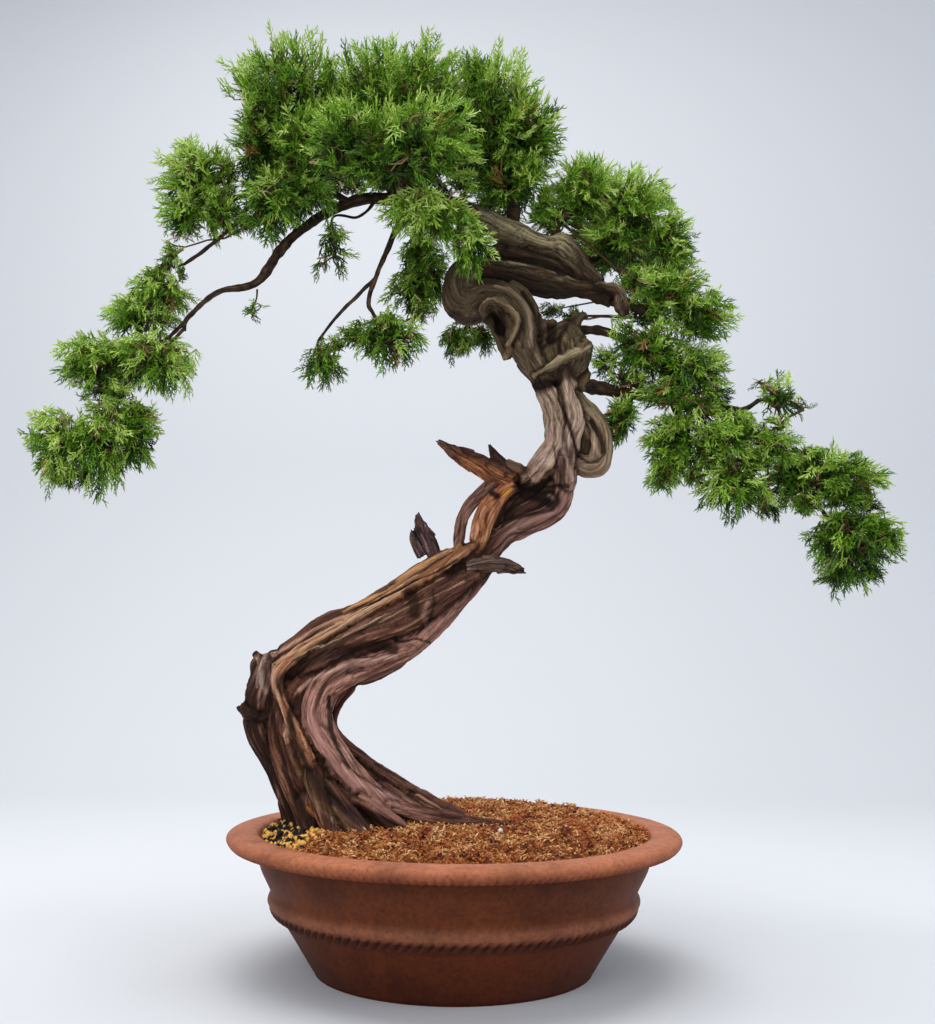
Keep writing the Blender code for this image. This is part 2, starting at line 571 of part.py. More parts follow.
def trunk_mesh():
    """The strands joined into one skin, thinned to plain faces and cut flat at the soil."""
    strands = [tube_mesh(smooth_path(points, 4)) for points in TRUNK_STRANDS.values()]
    obj = mesh_object("strands", joined_mesh(strands), helpers)
    remesh = obj.modifiers.new("skin", "REMESH")
    remesh.mode = "VOXEL"
    remesh.voxel_size = TRUNK_VOXEL * MM
    soften = obj.modifiers.new("soften", "SMOOTH")
    soften.factor = 0.5
    soften.iterations = 2
    skin = evaluated_mesh(obj)
    drop_object(obj)
    obj = mesh_object("skin", skin, helpers)
    thin = obj.modifiers.new("thin", "DECIMATE")
    thin.ratio = TRUNK_TRIANGLES / (2.0 * len(skin.polygons))
    mesh = evaluated_mesh(obj)
    drop_object(obj)
    bpy.ops.mesh.primitive_cube_add(size=0.6, location=(-0.05, 0.0, (SOIL_TOP + 0.3) * MM - 0.3))
    block = bpy.context.object
    cutter = evaluated_mesh(block)
    cutter.transform(Matrix.Translation(block.location))
    drop_object(block)
    cut = boolean_mesh(mesh, [cutter], "DIFFERENCE")
    shape = bmesh.new()
    shape.from_mesh(cut)
    bmesh.ops.remove_doubles(shape, verts=shape.verts, dist=SLIVER * MM)
    bmesh.ops.dissolve_degenerate(shape, edges=shape.edges, dist=SLIVER * MM)
    bmesh.ops.triangulate(shape, faces=shape.faces)
    shape.to_mesh(cut)
    shape.free()
    return cut


def frustum_mesh(start, end, radius_start, radius_end, sides=3):
    """A straight tapering twig."""
    along = (end - start) * MM
    shape = bmesh.new()
    bmesh.ops.create_cone(shape, cap_ends=True, cap_tris=False, segments=sides, radius1=radius_start * MM,
                          radius2=radius_end * MM, depth=along.length)
    turn = along.to_track_quat("Z", "Y").to_matrix().to_4x4()
    bmesh.ops.transform(shape, matrix=Matrix.Translation((start + end) * MM / 2) @ turn, verts=shape.verts)
    mesh = bpy.data.meshes.new("twig")
    shape.to_mesh(mesh)
    shape.free()
    return mesh


def leaf_template():
    """A flat ball with seven sides, drawn out to the toothed outline of one spray."""
    shape = bmesh.new()
    bmesh.ops.create_uvsphere(shape, u_segments=len(LEAF_OUTLINE), v_segments=2, radius=1.0)
    ring = [v for v in shape.verts if abs(v.co.z) < 0.5]
    ring.sort(key=lambda v: math.atan2(v.co.y, v.co.x))
    outline = sorted(LEAF_OUTLINE, key=lambda p: math.atan2(p[1], p[0] - LEAF_MIDDLE))
    for vert, (along, across) in zip(ring, outline):
        vert.co = (along, across, 0.0)
    for vert in shape.verts:
        if vert not in ring:
            vert.co = (LEAF_MIDDLE, 0.0, math.copysign(LEAF_THICK, vert.co.z))
    bmesh.ops.recalc_face_normals(shape, faces=shape.faces)
    mesh = bpy.data.meshes.new("leaf")
    shape.to_mesh(mesh)
    shape.free()
    return mesh


def leaf_mesh(root, heading, face_to, length):
    along = heading.normalized()
    across = face_to.cross(along).normalized()
    normal = along.cross(across)
    turn = Matrix((along, across, normal)).transposed().to_4x4()
    mesh = template.copy()
    mesh.transform(Matrix.Translation(root * MM) @ turn @ Matrix.Scale(length * MM, 4))
    return mesh


def core_mesh(lobe):
    """An uneven ball inside a dense lobe."""
    bumps = random.Random(str(lobe))
    shape = bmesh.new()
    bmesh.ops.create_icosphere(shape, subdivisions=2, radius=1.0)
    x, y, z, rx, ry, rz = lobe
    for vert in shape.verts:
        share = CORE_SHARE * bumps.uniform(CORE_HOLLOWS, CORE_CRESTS)
        vert.co = (
            (x + vert.co.x * rx * share) * MM,
            (y + vert.co.y * ry * share) * MM,
            (z + vert.co.z * rz * share) * MM,
        )
    mesh = bpy.data.meshes.new("core")
    shape.to_mesh(mesh)
    shape.free()
    return mesh


def depth_in(point, lobe):
    """How far out in the lobe a point is: 0 at its middle and 1 at its skin."""
    x, y, z, rx, ry, rz = lobe
    return math.sqrt(((point.x - x) / rx) ** 2 + ((point.y - y) / ry) ** 2 + ((point.z - z) / rz) ** 2)


def in_own_space(point, own):
    """Each mass keeps to the space that is deepest in one of its own lobes."""
    mine = min(depth_in(point, lobe) for lobe in own)
    others = (depth_in(point, lobe) for row in MASSES if row[4] is not own for lobe in row[4])
    return mine <= min(others)


def random_heading(rng):
    z = rng.uniform(-1.0, 1.0)
    turn = rng.uniform(-math.pi, math.pi)
    flat = math.sqrt(1.0 - z * z)
    return Vector((flat * math.cos(turn), flat * math.sin(turn), z))


def spread_headings(lobes, wanted, rng):
    """Well spread places on the skin of the lobes: (lobe number, outward heading, place on the skin)."""
    found = []
    for number, lobe in enumerate(lobes):
        x, y, z, rx, ry, rz = lobe
        size = (rx * ry * rz) ** (1 / 3)
        for _ in range(max(3, round(wanted * size / 30.0))):
            best = None
            for _ in range(16):
                out = random_heading(rng)
                skin = Vector((x + out.x * rx, y + out.y * ry, z + out.z * rz))
                if not in_own_space(skin, lobes):
                    continue
                inside = min([depth_in(skin, other) for other in lobes if other is not lobe], default=9.0)
                apart = min([(skin - place).length for _, _, place in found], default=60.0)
                score = apart + 30.0 * min(inside, 1.2)
                if best is None or score > best[0]:
                    best = (score, out, skin)
            if best is not None:
                found.append((number, best[1], best[2]))
    return found


def is_closed(mesh):
    """Whether every edge joins two faces and every corner is one fan of faces."""
    shape = bmesh.new()
    shape.from_mesh(mesh)
    sound = all(edge.is_manifold for edge in shape.edges) and all(vert.is_manifold for vert in shape.verts)
    flat = any(face.calc_area() < 1e-12 for face in shape.faces)
    shape.free()
    return sound and not flat


def thinned(mesh, wanted):
    """The union has many slivers where pieces cross. Collapsing its least edges removes them."""
    mesh.calc_loop_triangles()
    count = len(mesh.loop_triangles)
    for share in (1.0, 1.08, 1.17, 1.27, 1.4, 1.6):
        if wanted * share >= count:
            break
        obj = mesh_object("thin", mesh.copy(), helpers)
        obj.modifiers.new("faces", "TRIANGULATE")
        step = obj.modifiers.new("collapse", "DECIMATE")
        step.ratio = wanted * share / count
        made = largest_body(evaluated_mesh(obj))
        drop_object(obj)
        if is_closed(made):
            return made
    return mesh


def mass_frame(start, heading, lobes, dense):
    """The stem and the links between lobes, with each dense lobe's core."""
    pieces = []
    middles = [Vector(lobe[:3]) for lobe in lobes]
    first = start + heading * GAP
    bend = first + heading * min(12.0, (middles[0] - first).length * 0.4)
    stem = [(*first, 2.6), (*bend, 2.3), (*middles[0], 1.8)]
    pieces.append(tube_mesh([Vector(p) for p in stem], 0))
    for here, other in zip(middles, middles[1:]):
        pieces.append(frustum_mesh(here, other, 2.2, 1.7))
    if dense:
        pieces.extend(core_mesh(lobe) for lobe in lobes)
    return pieces, middles


def side_heading(along, turn, roll):
    """A heading that leaves the twig at an angle, rolled round it."""
    across = along.orthogonal().normalized()
    across = Matrix.Rotation(roll, 3, along) @ across
    return (Matrix.Rotation(math.radians(turn), 3, across) @ along).normalized()


def grow_mass(lobes, lift, dense, start, frame, middles, placed, rng):
    """Joins to the frame every twig and spray that keeps to its space and touches nothing else."""
    pieces = []

    def add(piece):
        box, tree = box_of(piece), tree_of(piece)
        if any(other.touches(piece, box, tree) for other in placed):
            return False
        pieces.append(piece)
        return True

    sway = Vector((0.0, 0.0, lift))
    behind = [start.lerp(middles[0], 0.3)] + middles[:-1]
    used = [0] * len(lobes)
    for number, out, skin in spread_headings(lobes, SPRAYS_DENSE if dense else TWIGS_OPEN, rng):
        middle = middles[number]
        reach = skin - middle
        if dense:
            root = middle + reach * (CORE_SHARE * 0.72)
            heading = ((skin - root).normalized() + 0.6 * sway + 0.2 * random_heading(rng)).normalized()
            length = max(LEAF_SHORTEST, min(LEAF_LONGEST, (skin - root).length * 1.25))
            add(leaf_mesh(root, heading, heading.cross(random_heading(rng)), length))
            continue
        heading = (reach.normalized() + sway + 0.2 * random_heading(rng)).normalized()
        length = max(LEAF_SHORTEST, min(LEAF_LONGEST, reach.length * 1.05))
        root = skin - heading * length
        used[number] += 1
        middle = middles[number].lerp(behind[number], min(0.9, 0.26 * used[number]))
        if (root - middle).length < 6.0:
            root = middle + heading * 6.0
        twig = root - middle
        if not add(frustum_mesh(middle, root + twig.normalized() * 1.5, TWIG_RADIUS, TWIG_RADIUS * 0.75)):
            continue
        roll = rng.uniform(-math.pi, math.pi)
        add(leaf_mesh(root - heading * 1.0, heading, heading.cross(random_heading(rng)), length))
        for place, turn, size in ((0.72, 52.0, 0.75), (0.40, -58.0, 0.68)):
            along = side_heading(twig.normalized(), turn, roll)
            along = (along + 0.6 * sway).normalized()
            side_length = max(LEAF_SHORTEST * 0.8, length * size)
            add(leaf_mesh(middle + twig * place, along, along.cross(random_heading(rng)), side_length))
    made = boolean_mesh(frame[0].copy(), [m.copy() for m in frame[1:]] + pieces, "UNION",
                        ("MANIFOLD", "EXACT"))
    cores = len(lobes) if dense else 0
    wanted = TRIANGLES_PER_PIECE * (len(pieces) + len(frame) - cores) + TRIANGLES_PER_CORE * cores
    return cut_clear(thinned(made, wanted), placed)


clear_scene()
materials = {name: make_material(name) for name in COLOURS}
plant = make_collection("juniper_bonsai")
helpers = make_collection("helpers", helper=True)
template = leaf_template()

# Pot, and soil with a seat for the trunk's foot
pot_profile = [(0.0, 0.0)] + POT_OUTSIDE + POT_INSIDE + [(0.0, 12.0)]
finish("pot", turned_mesh(pot_profile[::-1], POT_STEPS), "terracotta")
trunk = trunk_mesh()
seat = seat_mesh(trunk, SOIL_CROWN + 1.5)
finish("soil", boolean_mesh(soil_mesh(), [seat], "DIFFERENCE"), "moss_soil")

# Wood, each piece cut clear of the ones before it
wood = []
tips = {}


def add_wood(name, mesh, material, path):
    mesh = cut_clear(mesh, wood)
    if name in WOOD_TRIANGLES:
        mesh = freed(thinned(mesh, WOOD_TRIANGLES[name]), wood)
    finish(name, mesh, material)
    wood.append(Placed(name, mesh))
    last, before = Vector(path[-1][:3]), Vector(path[-2][:3])
    tips[name] = (last, (last - before).normalized())


finish("trunk", trunk, "bark")
wood.append(Placed("trunk", trunk, folded=True))
for limb_name, limb_material, limb_tubes in LIMBS:
    paths = [smooth_path(points, 2) for points in limb_tubes]
    shape = tube_mesh(paths[0], 2)
    if len(paths) > 1:
        shape = boolean_mesh(shape, [tube_mesh(path, 2) for path in paths[1:]], "UNION")
    add_wood(limb_name, shape, limb_material, paths[0])
for bough_name, bough_points in BOUGHS:
    path = smooth_path(bough_points, 1)
    add_wood(bough_name, tube_mesh(path, 1), "bark", path)

# Foliage
rng = random.Random(SEED)
frames = {}
for mass_name, carrier, is_dense, mass_lift, mass_lobes in MASSES:
    tip, direction = tips[carrier]
    parts, centres = mass_frame(tip, direction, mass_lobes, is_dense)
    frames[mass_name] = (parts, centres)
grown = []
for mass_name, carrier, is_dense, mass_lift, mass_lobes in MASSES:
    parts, centres = frames[mass_name]
    made = grow_mass(mass_lobes, mass_lift, is_dense, tips[carrier][0], parts, centres, wood + grown, rng)
    finish(mass_name, made, "foliage")
    grown.append(Placed(mass_name, made))

# Helpers go, so that only the plant is left
for leftover in list(helpers.objects):
    drop_object(leftover)
bpy.data.collections.remove(helpers)
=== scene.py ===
"""Looks of the juniper bonsai in its clay pot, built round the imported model.

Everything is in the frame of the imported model: +Z up, -Y to the front, origin under the pot.
Tables and mesh tools work in millimetres, and what goes to Blender is turned into metres by MM.
The tables repeat the sizes of the part. A lobe of foliage is (x, y, z, rx, ry, rz).
"""

import math

import bmesh
import bpy
import numpy as np
from mathutils import Matrix, Vector


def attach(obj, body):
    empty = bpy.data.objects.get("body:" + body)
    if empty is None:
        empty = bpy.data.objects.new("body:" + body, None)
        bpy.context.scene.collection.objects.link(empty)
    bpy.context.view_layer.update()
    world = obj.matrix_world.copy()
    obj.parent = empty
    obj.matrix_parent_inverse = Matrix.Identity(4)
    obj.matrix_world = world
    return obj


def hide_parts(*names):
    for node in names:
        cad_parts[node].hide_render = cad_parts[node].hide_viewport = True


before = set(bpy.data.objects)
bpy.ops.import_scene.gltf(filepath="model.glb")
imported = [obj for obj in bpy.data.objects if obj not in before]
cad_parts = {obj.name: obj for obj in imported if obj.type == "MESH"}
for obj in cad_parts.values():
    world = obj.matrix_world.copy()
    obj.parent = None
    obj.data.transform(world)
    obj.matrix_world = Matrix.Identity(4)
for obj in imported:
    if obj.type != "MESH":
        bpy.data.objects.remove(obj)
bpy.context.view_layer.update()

MM = 0.001

# The trunk's strands, the limbs and the boughs: (x, y, z, radius)
TRUNK_STRANDS = {
    "heel": [(-113, 16, 90, 21.0), (-121, 14, 121, 19.8), (-136, 10, 154, 17.0), (-151, 6, 179, 15.9),
             (-155, 4, 197, 15.1), (-152, 4, 220, 14.8), (-148, 4, 236, 12.0)],
    "knee": [(-157, 2, 205, 9.0), (-158, 2, 222, 8.2), (-157, 2, 238, 7.0)],
    "back": [(-147, 4, 232, 11.6), (-128, 7, 243, 12.6), (-104, 8, 259, 15.2), (-66, 8, 275, 15.6),
             (-24, 6, 301, 16.6), (-5, 4, 314, 14.5), (13, 2, 320, 12.0)],
    "crest": [(-40, -58, 99, 7.4), (-78, -40, 128, 7.6), (-107, -26, 150, 6.9), (-132, -16, 197, 6.2),
              (-139, -16, 228, 6.3), (-104, -14, 256, 6.3), (-45, -14, 291, 6.3), (13, -10, 327, 5.6)],
    "cheek": [(-22, -40, 96, 11.3), (-72, -24, 140, 11.6), (-106, -14, 185, 12.5), (-106, -12, 209, 13.3),
              (-90, -10, 226, 12.6), (-36, -10, 250, 11.0), (7, -4, 295, 10.4), (33, -2, 334, 9.6),
              (51, -2, 345, 9.8), (79, -2, 360, 9.8), (86, -4, 386, 10.0), (86, -6, 402, 10.0)],
    "inner": [(42, 2, 98, 4.0), (20, 0, 110, 5.0), (-11, 0, 122, 6.4), (-32, 0, 132, 7.4),
              (-53, 0, 144, 8.2), (-93, 6, 172, 7.2), (-100, 6, 194, 7.2), (-83, 2, 220, 7.2)],
    "toe": [(34, -12, 99, 4.0), (13, -12, 108, 5.2), (-8, -12, 117, 6.2), (-32, -8, 129, 6.6)],
    "between": [(-14, -24, 97, 7.5), (-25, -20, 116, 8.0), (-41, -16, 127, 8.4), (-58, -12, 139, 7.6)],
    "under_run": [(-85, 2, 220, 6.4), (-65, 2, 226, 6.4), (-47, 2, 236, 6.4), (-31, 2, 250, 6.4)],
    "belly": [(-127, -8, 224, 7.9), (-84, -16, 253, 11.0), (-39, -14, 272, 13.4), (-20, -12, 285, 14.2),
              (16, -8, 309, 10.3)],
    "core": [(-82, -6, 90, 34.4), (-99, 0, 123, 29.9), (-130, 2, 178, 22.2), (-119, 4, 224, 20.7),
             (-68, 4, 250, 22.4), (-43, 4, 267, 22.8), (-8, 2, 295, 19.4), (14, 3, 316, 16.8),
             (29, 4, 334, 11.8)],
    "arc": [(0, 0, 324, 5.4), (2, -2, 344, 5.1), (6, -2, 357, 5.1), (13, -2, 366, 5.4),
            (23, -2, 375, 6.2), (31, -2, 381, 6.6)],
    "panel": [(16, -6, 324, 8.0), (23, -8, 354, 8.8), (38, -8, 373, 7.2), (46, -8, 378, 7.2)],
    "hollow_back": [(29, 8, 330, 10.5), (39, 12, 351, 13.0), (50, 14, 368, 14.7), (79, 8, 389, 12.2)],
    "hollow_floor": [(45, 6, 352, 10.0), (66, 6, 364, 11.0), (80, 4, 377, 11.0)],
    "jin_root": [(31, 5, 389, 5.0), (45, 6, 384, 8.5), (61, 6, 380, 10.0)],
    "brow": [(37, -2, 394, 6.4), (57, -4, 387, 7.2), (67, -4, 392, 8.8)],
    "left": [(56, -4, 383, 9.0), (68, -4, 395, 11.0), (79, -4, 411, 11.0), (79, -4, 424, 10.6),
             (77, -4, 442, 10.5), (64, -6, 470, 11.3)],
    "middle": [(87, -6, 379, 8.8), (89, -8, 414, 8.8), (93, -8, 432, 8.8), (86, -4, 462, 9.7),
               (86, -2, 476, 13.0)],
    "loop": [(94, -4, 451, 7.3), (112, -4, 427, 8.9), (114, -4, 401, 10.4), (107, -4, 394, 9.6),
             (96, -4, 396, 8.8)],
    "loop_floor": [(103, 5, 398, 8.0), (106, 5, 420, 9.0), (101, 5, 446, 8.0)],
    "spine": [(80, 6, 398, 11.3), (80, 8, 449, 13.0), (78, 8, 471, 18.0), (73, 8, 492, 19.6),
              (65, 8, 511, 14.8)],
    "ridge": [(69, -6, 460, 10.5), (50, -10, 493, 13.7), (50, -10, 508, 13.7), (36, -10, 528, 13.7),
              (22, -10, 531, 14.5), (7, -8, 525, 17.8), (2, -4, 536, 16.2), (5, 4, 552, 14.7),
              (12, 8, 560, 12.3)],
    "column": [(67, -2, 472, 8.0), (58, -2, 497, 8.6), (58, -2, 515, 9.2), (50, -2, 531, 9.4),
               (38, 0, 541, 8.0)],
    "under": [(42, -2, 482, 6.5), (31, 0, 508, 6.5), (24, 0, 517, 7.3)],
    "comma": [(21, -22, 511, 3.2), (19, -24, 518, 4.0), (27, -24, 522, 4.0), (47, -24, 506, 4.0),
              (39, -20, 486, 3.2)],
    "shelf": [(59, -16, 464, 3.2), (84, -20, 477, 4.0), (95, -20, 482, 4.0), (104, -14, 491, 4.0)],
    "stub": [(84, 0, 468, 13.0), (92, 0, 484, 16.2), (91, 0, 498, 14.6), (95, -2, 512, 6.5),
             (103, -2, 519, 4.9)],
    "lip": [(64, -6, 492, 7.0), (82, -4, 504, 8.2), (90, -2, 507, 8.2)],
    "collar": [(94, 2, 488, 8.0), (98, 4, 472, 8.4), (95, 2, 457, 8.0)],
    "knee_stub": [(-163, 4, 243, 5.0), (-149, 4, 230, 7.0)],
    "heel_stub": [(-170, -2, 202, 5.2), (-167, -2, 197, 6.8), (-155, -2, 193, 10.2)],
    "foot_heel": [(-122, -2, 152, 10.0), (-113, -18, 130, 11.0), (-108, -32, 112, 10.0),
                  (-104, -40, 98, 8.0)],
    "foot_left": [(-110, -20, 152, 10.0), (-99, -42, 130, 11.0), (-91, -60, 113, 9.5), (-86, -70, 98, 7.5)],
    "foot_front": [(-98, -32, 142, 8.0), (-82, -56, 125, 9.0), (-67, -75, 112, 8.5), (-57, -86, 98, 6.5)],
    "foot_mid": [(-72, -40, 132, 8.0), (-52, -56, 121, 9.0), (-36, -68, 111, 8.0), (-27, -74, 98, 6.0)],
    "root": [(-47, -34, 126, 8.5), (-17, -42, 122, 7.5), (8, -46, 119, 6.0), (28, -49, 117.5, 4.8),
             (44, -52, 115, 3.4), (56, -54, 110, 2.4)],
    "web": [(-80, -2, 154, 7.0), (-64, -2, 142, 8.0), (-48, -4, 131, 8.0)],
}
LIMBS = [
    ("limb_lower", "bark", [
        [(15, 10, 558, 10.7), (47, 12, 554, 12.4), (65, 10, 549, 13.2), (83, 8, 544, 10.7),
         (101, 4, 541, 8.2), (115, 2, 537, 9.8), (125, 0, 531, 8.1)],
        [(113, -4, 540, 5.7), (127, -12, 535, 5.6), (130, -14, 524, 6.4), (133, -14, 514, 4.0)],
        [(20, 10, 572, 4.6), (34, 8, 574, 5.6), (55, 8, 569, 6.2), (77, 8, 562, 6.2), (96, 8, 552, 5.0)],
    ]),
    ("limb_upper", "bark", [
        [(114, 2, 544, 7.4), (104, 4, 553, 8.2), (94, 6, 566, 10.7), (83, 6, 576, 11.5), (68, 6, 578, 9.0),
         (38, 8, 590, 11.5), (23, 10, 598, 10.7), (-27, 14, 618, 9.1), (-48, 14, 624, 7.6),
         (-58, 10, 640, 5.4)],
    ]),
    ("jin_left", "deadwood", [
        [(-17, -4, 413, 1.8), (-7, -4, 407, 4.0), (6, -4, 400, 6.0), (30, -4, 388, 9.6), (43, -4, 381, 9.6)],
        [(26, -4, 409, 1.6), (30, -4, 401, 4.0), (38, -4, 392, 5.6)],
    ]),
    ("jin_upright", "deadwood", [
        [(-33, 4, 355, 1.8), (-31, 4, 347, 4.2), (-27, 4, 339, 5.8), (-22, 4, 329, 6.2), (-17, 4, 313, 6.0)],
        [(-36, 4, 341, 2.0), (-34, 4, 334, 4.0), (-27, 4, 321, 4.8)],
    ]),
    ("jin_right", "deadwood", [[(53, -14, 309, 2.8), (45, -14, 311, 5.0), (34, -14, 313, 5.6),
                                (21, -12, 313, 6.2), (8, -10, 311, 5.2)]]),
]
BOUGHS = [
    ("bough_left", [(-48, 16, 620, 6.7), (-91, 10, 614, 5.4), (-132, -2, 585, 4.4), (-149, -8, 563, 4.9),
                    (-164, -12, 540, 3.9), (-196, -16, 529, 2.6), (-217, -16, 509, 2.2),
                    (-221, -16, 499, 1.9)]),
    ("bough_crown_left", [(-48, 14, 622, 5.8), (-71, 8, 634, 5.4), (-112, -4, 656, 4.1)]),
    ("bough_crown_right", [(41, 8, 593, 6.6), (43, 4, 611, 5.8), (34, -4, 642, 4.1)]),
    ("bough_front", [(12, 6, 603, 5.8), (0, -16, 605, 4.8), (-11, -40, 600, 3.9)]),
    ("bough_front_high", [(-22, 10, 614, 5.8), (-32, -22, 605, 4.8), (-46, -62, 608, 3.9)]),
    ("bough_back", [(-8, 12, 612, 5.8), (-18, 46, 639, 5.1), (-34, 74, 666, 4.4)]),
    ("bough_low_left", [(-91, 10, 614, 4.1), (-106, -6, 615, 3.7), (-119, -20, 609, 3.2)]),
    ("bough_cloud", [(-99, 8, 609, 4.1), (-128, 2, 621, 3.6), (-159, -10, 616, 3.3), (-184, -16, 608, 2.7)]),
    ("bough_fork", [(-165, -11, 615, 2.9), (-180, -16, 588, 2.4), (-207, -18, 563, 2.1),
                    (-222, -18, 552, 1.8)]),
    ("bough_drop", [(-216, -16, 510, 2.2), (-233, -18, 492, 2.1), (-255, -20, 475, 1.9),
                    (-269, -20, 439, 1.6)]),
    ("twig_hang", [(-72, 13, 615, 2.0), (-84, 6, 600, 1.7), (-102, 0, 599, 1.5), (-107, -4, 588, 1.3)]),
    ("bough_hang", [(-46, 14, 620, 3.8), (-51, 0, 592, 3.4), (-63, -14, 556, 2.6), (-73, -16, 525, 2.2),
                    (-69, -16, 513, 2.1)]),
    ("bough_hang_fork", [(-68, -16, 543, 2.2), (-92, -20, 517, 1.9), (-111, -20, 493, 1.6),
                         (-112, -20, 483, 1.4)]),
    ("bough_mid", [(-25, 16, 615, 3.8), (-30, 24, 600, 3.4), (-35, 28, 588, 2.9)]),
    ("bough_under", [(7, 8, 532, 4.1), (8, 26, 528, 3.3), (6, 34, 516, 2.9)]),
    ("bough_right_up", [(81, 6, 577, 5.8), (79, 8, 595, 5.0), (100, 14, 617, 4.2)]),
    ("bough_right_mid", [(122, 2, 533, 6.5), (136, 2, 528, 5.3), (151, 0, 521, 4.4)]),
    ("bough_right_low", [(97, 2, 506, 4.9), (114, 6, 507, 4.6), (132, 6, 501, 4.1), (146, 4, 491, 3.6)]),
    ("bough_right_long", [(93, 2, 462, 8.0), (120, 6, 458, 5.8), (150, 8, 453, 4.6), (212, -2, 443, 2.9),
                          (227, -6, 440, 2.4), (241, -8, 448, 2.1)]),
    ("bough_under_right", [(138, 6, 455, 3.2), (139, 6, 447, 2.8), (137, 6, 440, 2.5)]),
    ("bough_trail", [(172, 5, 450, 3.6), (180, 2, 433, 3.2), (186, 0, 420, 2.7)]),
    ("bough_end", [(204, 0, 444, 3.2), (229, -4, 425, 3.1), (257, -8, 408, 2.7), (282, -8, 395, 2.4)]),
    ("bough_droop", [(270, -8, 402, 2.6), (291, -10, 358, 2.2), (299, -10, 349, 2.1)]),
    ("bough_back_right", [(98, 6, 564, 5.8), (118, 44, 575, 5.1), (131, 74, 592, 4.4)]),
]
# Foliage masses: name, limb that carries it, dense, lift of the shoots, lobes
MASSES = [
    ("crown_left", "bough_crown_left", True, 0.30,
     [(-142, -5, 699, 44, 62, 46), (-168, 0, 657, 20, 48, 41), (-121, -10, 649, 33, 60, 36)]),
    ("crown_mid", "limb_upper", True, 0.30,
     [(-68, -10, 693, 38, 66, 46), (-27, -8, 689, 36, 66, 49), (-52, -10, 644, 42, 56, 29)]),
    ("crown_right", "bough_crown_right", True, 0.20,
     [(26, -4, 683, 35, 60, 48), (59, 2, 667, 25, 48, 41), (39, 2, 626, 33, 50, 26)]),
    ("crown_front", "bough_front", True, -0.50,
     [(-38, -62, 580, 26, 26, 19), (-12, -68, 570, 31, 28, 21), (10, -62, 555, 18, 22, 26)]),
    ("crown_front_high", "bough_front_high", True, 0.10,
     [(-84, -92, 628, 39, 32, 33), (-24, -92, 630, 41, 34, 35)]),
    ("crown_back", "bough_back", True, 0.20,
     [(-30, 86, 700, 54, 46, 48), (-112, 84, 700, 52, 46, 45), (-158, 66, 656, 38, 38, 36),
      (40, 80, 672, 38, 42, 40)]),
    ("crown_low_left", "bough_low_left", True, -0.40,
     [(-156, -18, 601, 26, 42, 31), (-122, -30, 602, 25, 34, 24)]),
    ("cloud_left", "bough_cloud", True, -0.10,
     [(-214, -16, 622, 34, 46, 32), (-221, -20, 589, 21, 34, 22), (-190, -16, 596, 16, 36, 27)]),
    ("drop_upper", "bough_fork", True, -0.50,
     [(-236, -18, 554, 12, 18, 16), (-241, -14, 524, 26, 38, 18), (-264, -14, 506, 22, 36, 18)]),
    ("drop_mid", "bough_left", True, -0.40,
     [(-248, -10, 471, 35, 48, 27), (-292, -16, 469, 32, 44, 24)]),
    ("drop_low", "bough_drop", True, -0.50,
     [(-286, -14, 402, 22, 42, 38), (-319, -18, 403, 24, 38, 35), (-255, -6, 419, 18, 36, 32)]),
    ("spray_hang", "twig_hang", False, -0.60, [(-102, -8, 563, 21, 20, 23)]),
    ("drop_left", "bough_hang_fork", True, -0.40, [(-108, -20, 467, 22, 22, 17)]),
    ("drop_right", "bough_hang", True, -0.50, [(-53, -16, 489, 29, 30, 24), (-87, -10, 493, 18, 22, 14)]),
    ("hang_mid", "bough_mid", True, -0.60, [(-34, 28, 569, 21, 26, 20), (-38, 30, 539, 25, 26, 25)]),
    ("under_bulb", "bough_under", True, -0.50, [(-6, 36, 499, 18, 20, 17), (23, 36, 508, 17, 20, 17)]),
    ("right_upper", "bough_right_up", True, 0.10,
     [(104, 20, 629, 35, 46, 28), (145, 10, 610, 34, 52, 33), (175, 5, 578, 20, 36, 30),
      (125, 34, 591, 29, 34, 29)]),
    ("right_mid", "bough_right_mid", True, -0.10, [(169, 0, 540, 33, 40, 21), (198, 0, 517, 29, 40, 24)]),
    ("right_low", "bough_right_low", True, -0.20,
     [(153, 2, 489, 34, 42, 28), (190, 2, 471, 32, 40, 26)]),
    ("right_under", "bough_under_right", True, -0.30, [(130, 6, 434, 19, 26, 22)]),
    ("right_trail", "bough_trail", True, -0.40,
     [(172, 0, 412, 27, 34, 27), (168, 0, 387, 20, 26, 17), (210, -4, 407, 29, 38, 27),
      (222, -6, 373, 32, 32, 27)]),
    ("spray_right", "bough_right_long", False, -0.20, [(258, -10, 447, 19, 22, 27)]),
    ("end_upper", "bough_end", True, 0.05, [(306, -10, 383, 32, 42, 27), (267, 12, 386, 22, 36, 30)]),
    ("end_droop", "bough_droop", True, -0.40, [(313, -8, 330, 35, 40, 37), (341, -4, 337, 18, 28, 21)]),
    ("right_back", "bough_back_right", True, 0.10, [(128, 92, 622, 48, 42, 42), (172, 86, 585, 34, 38, 34)]),
]
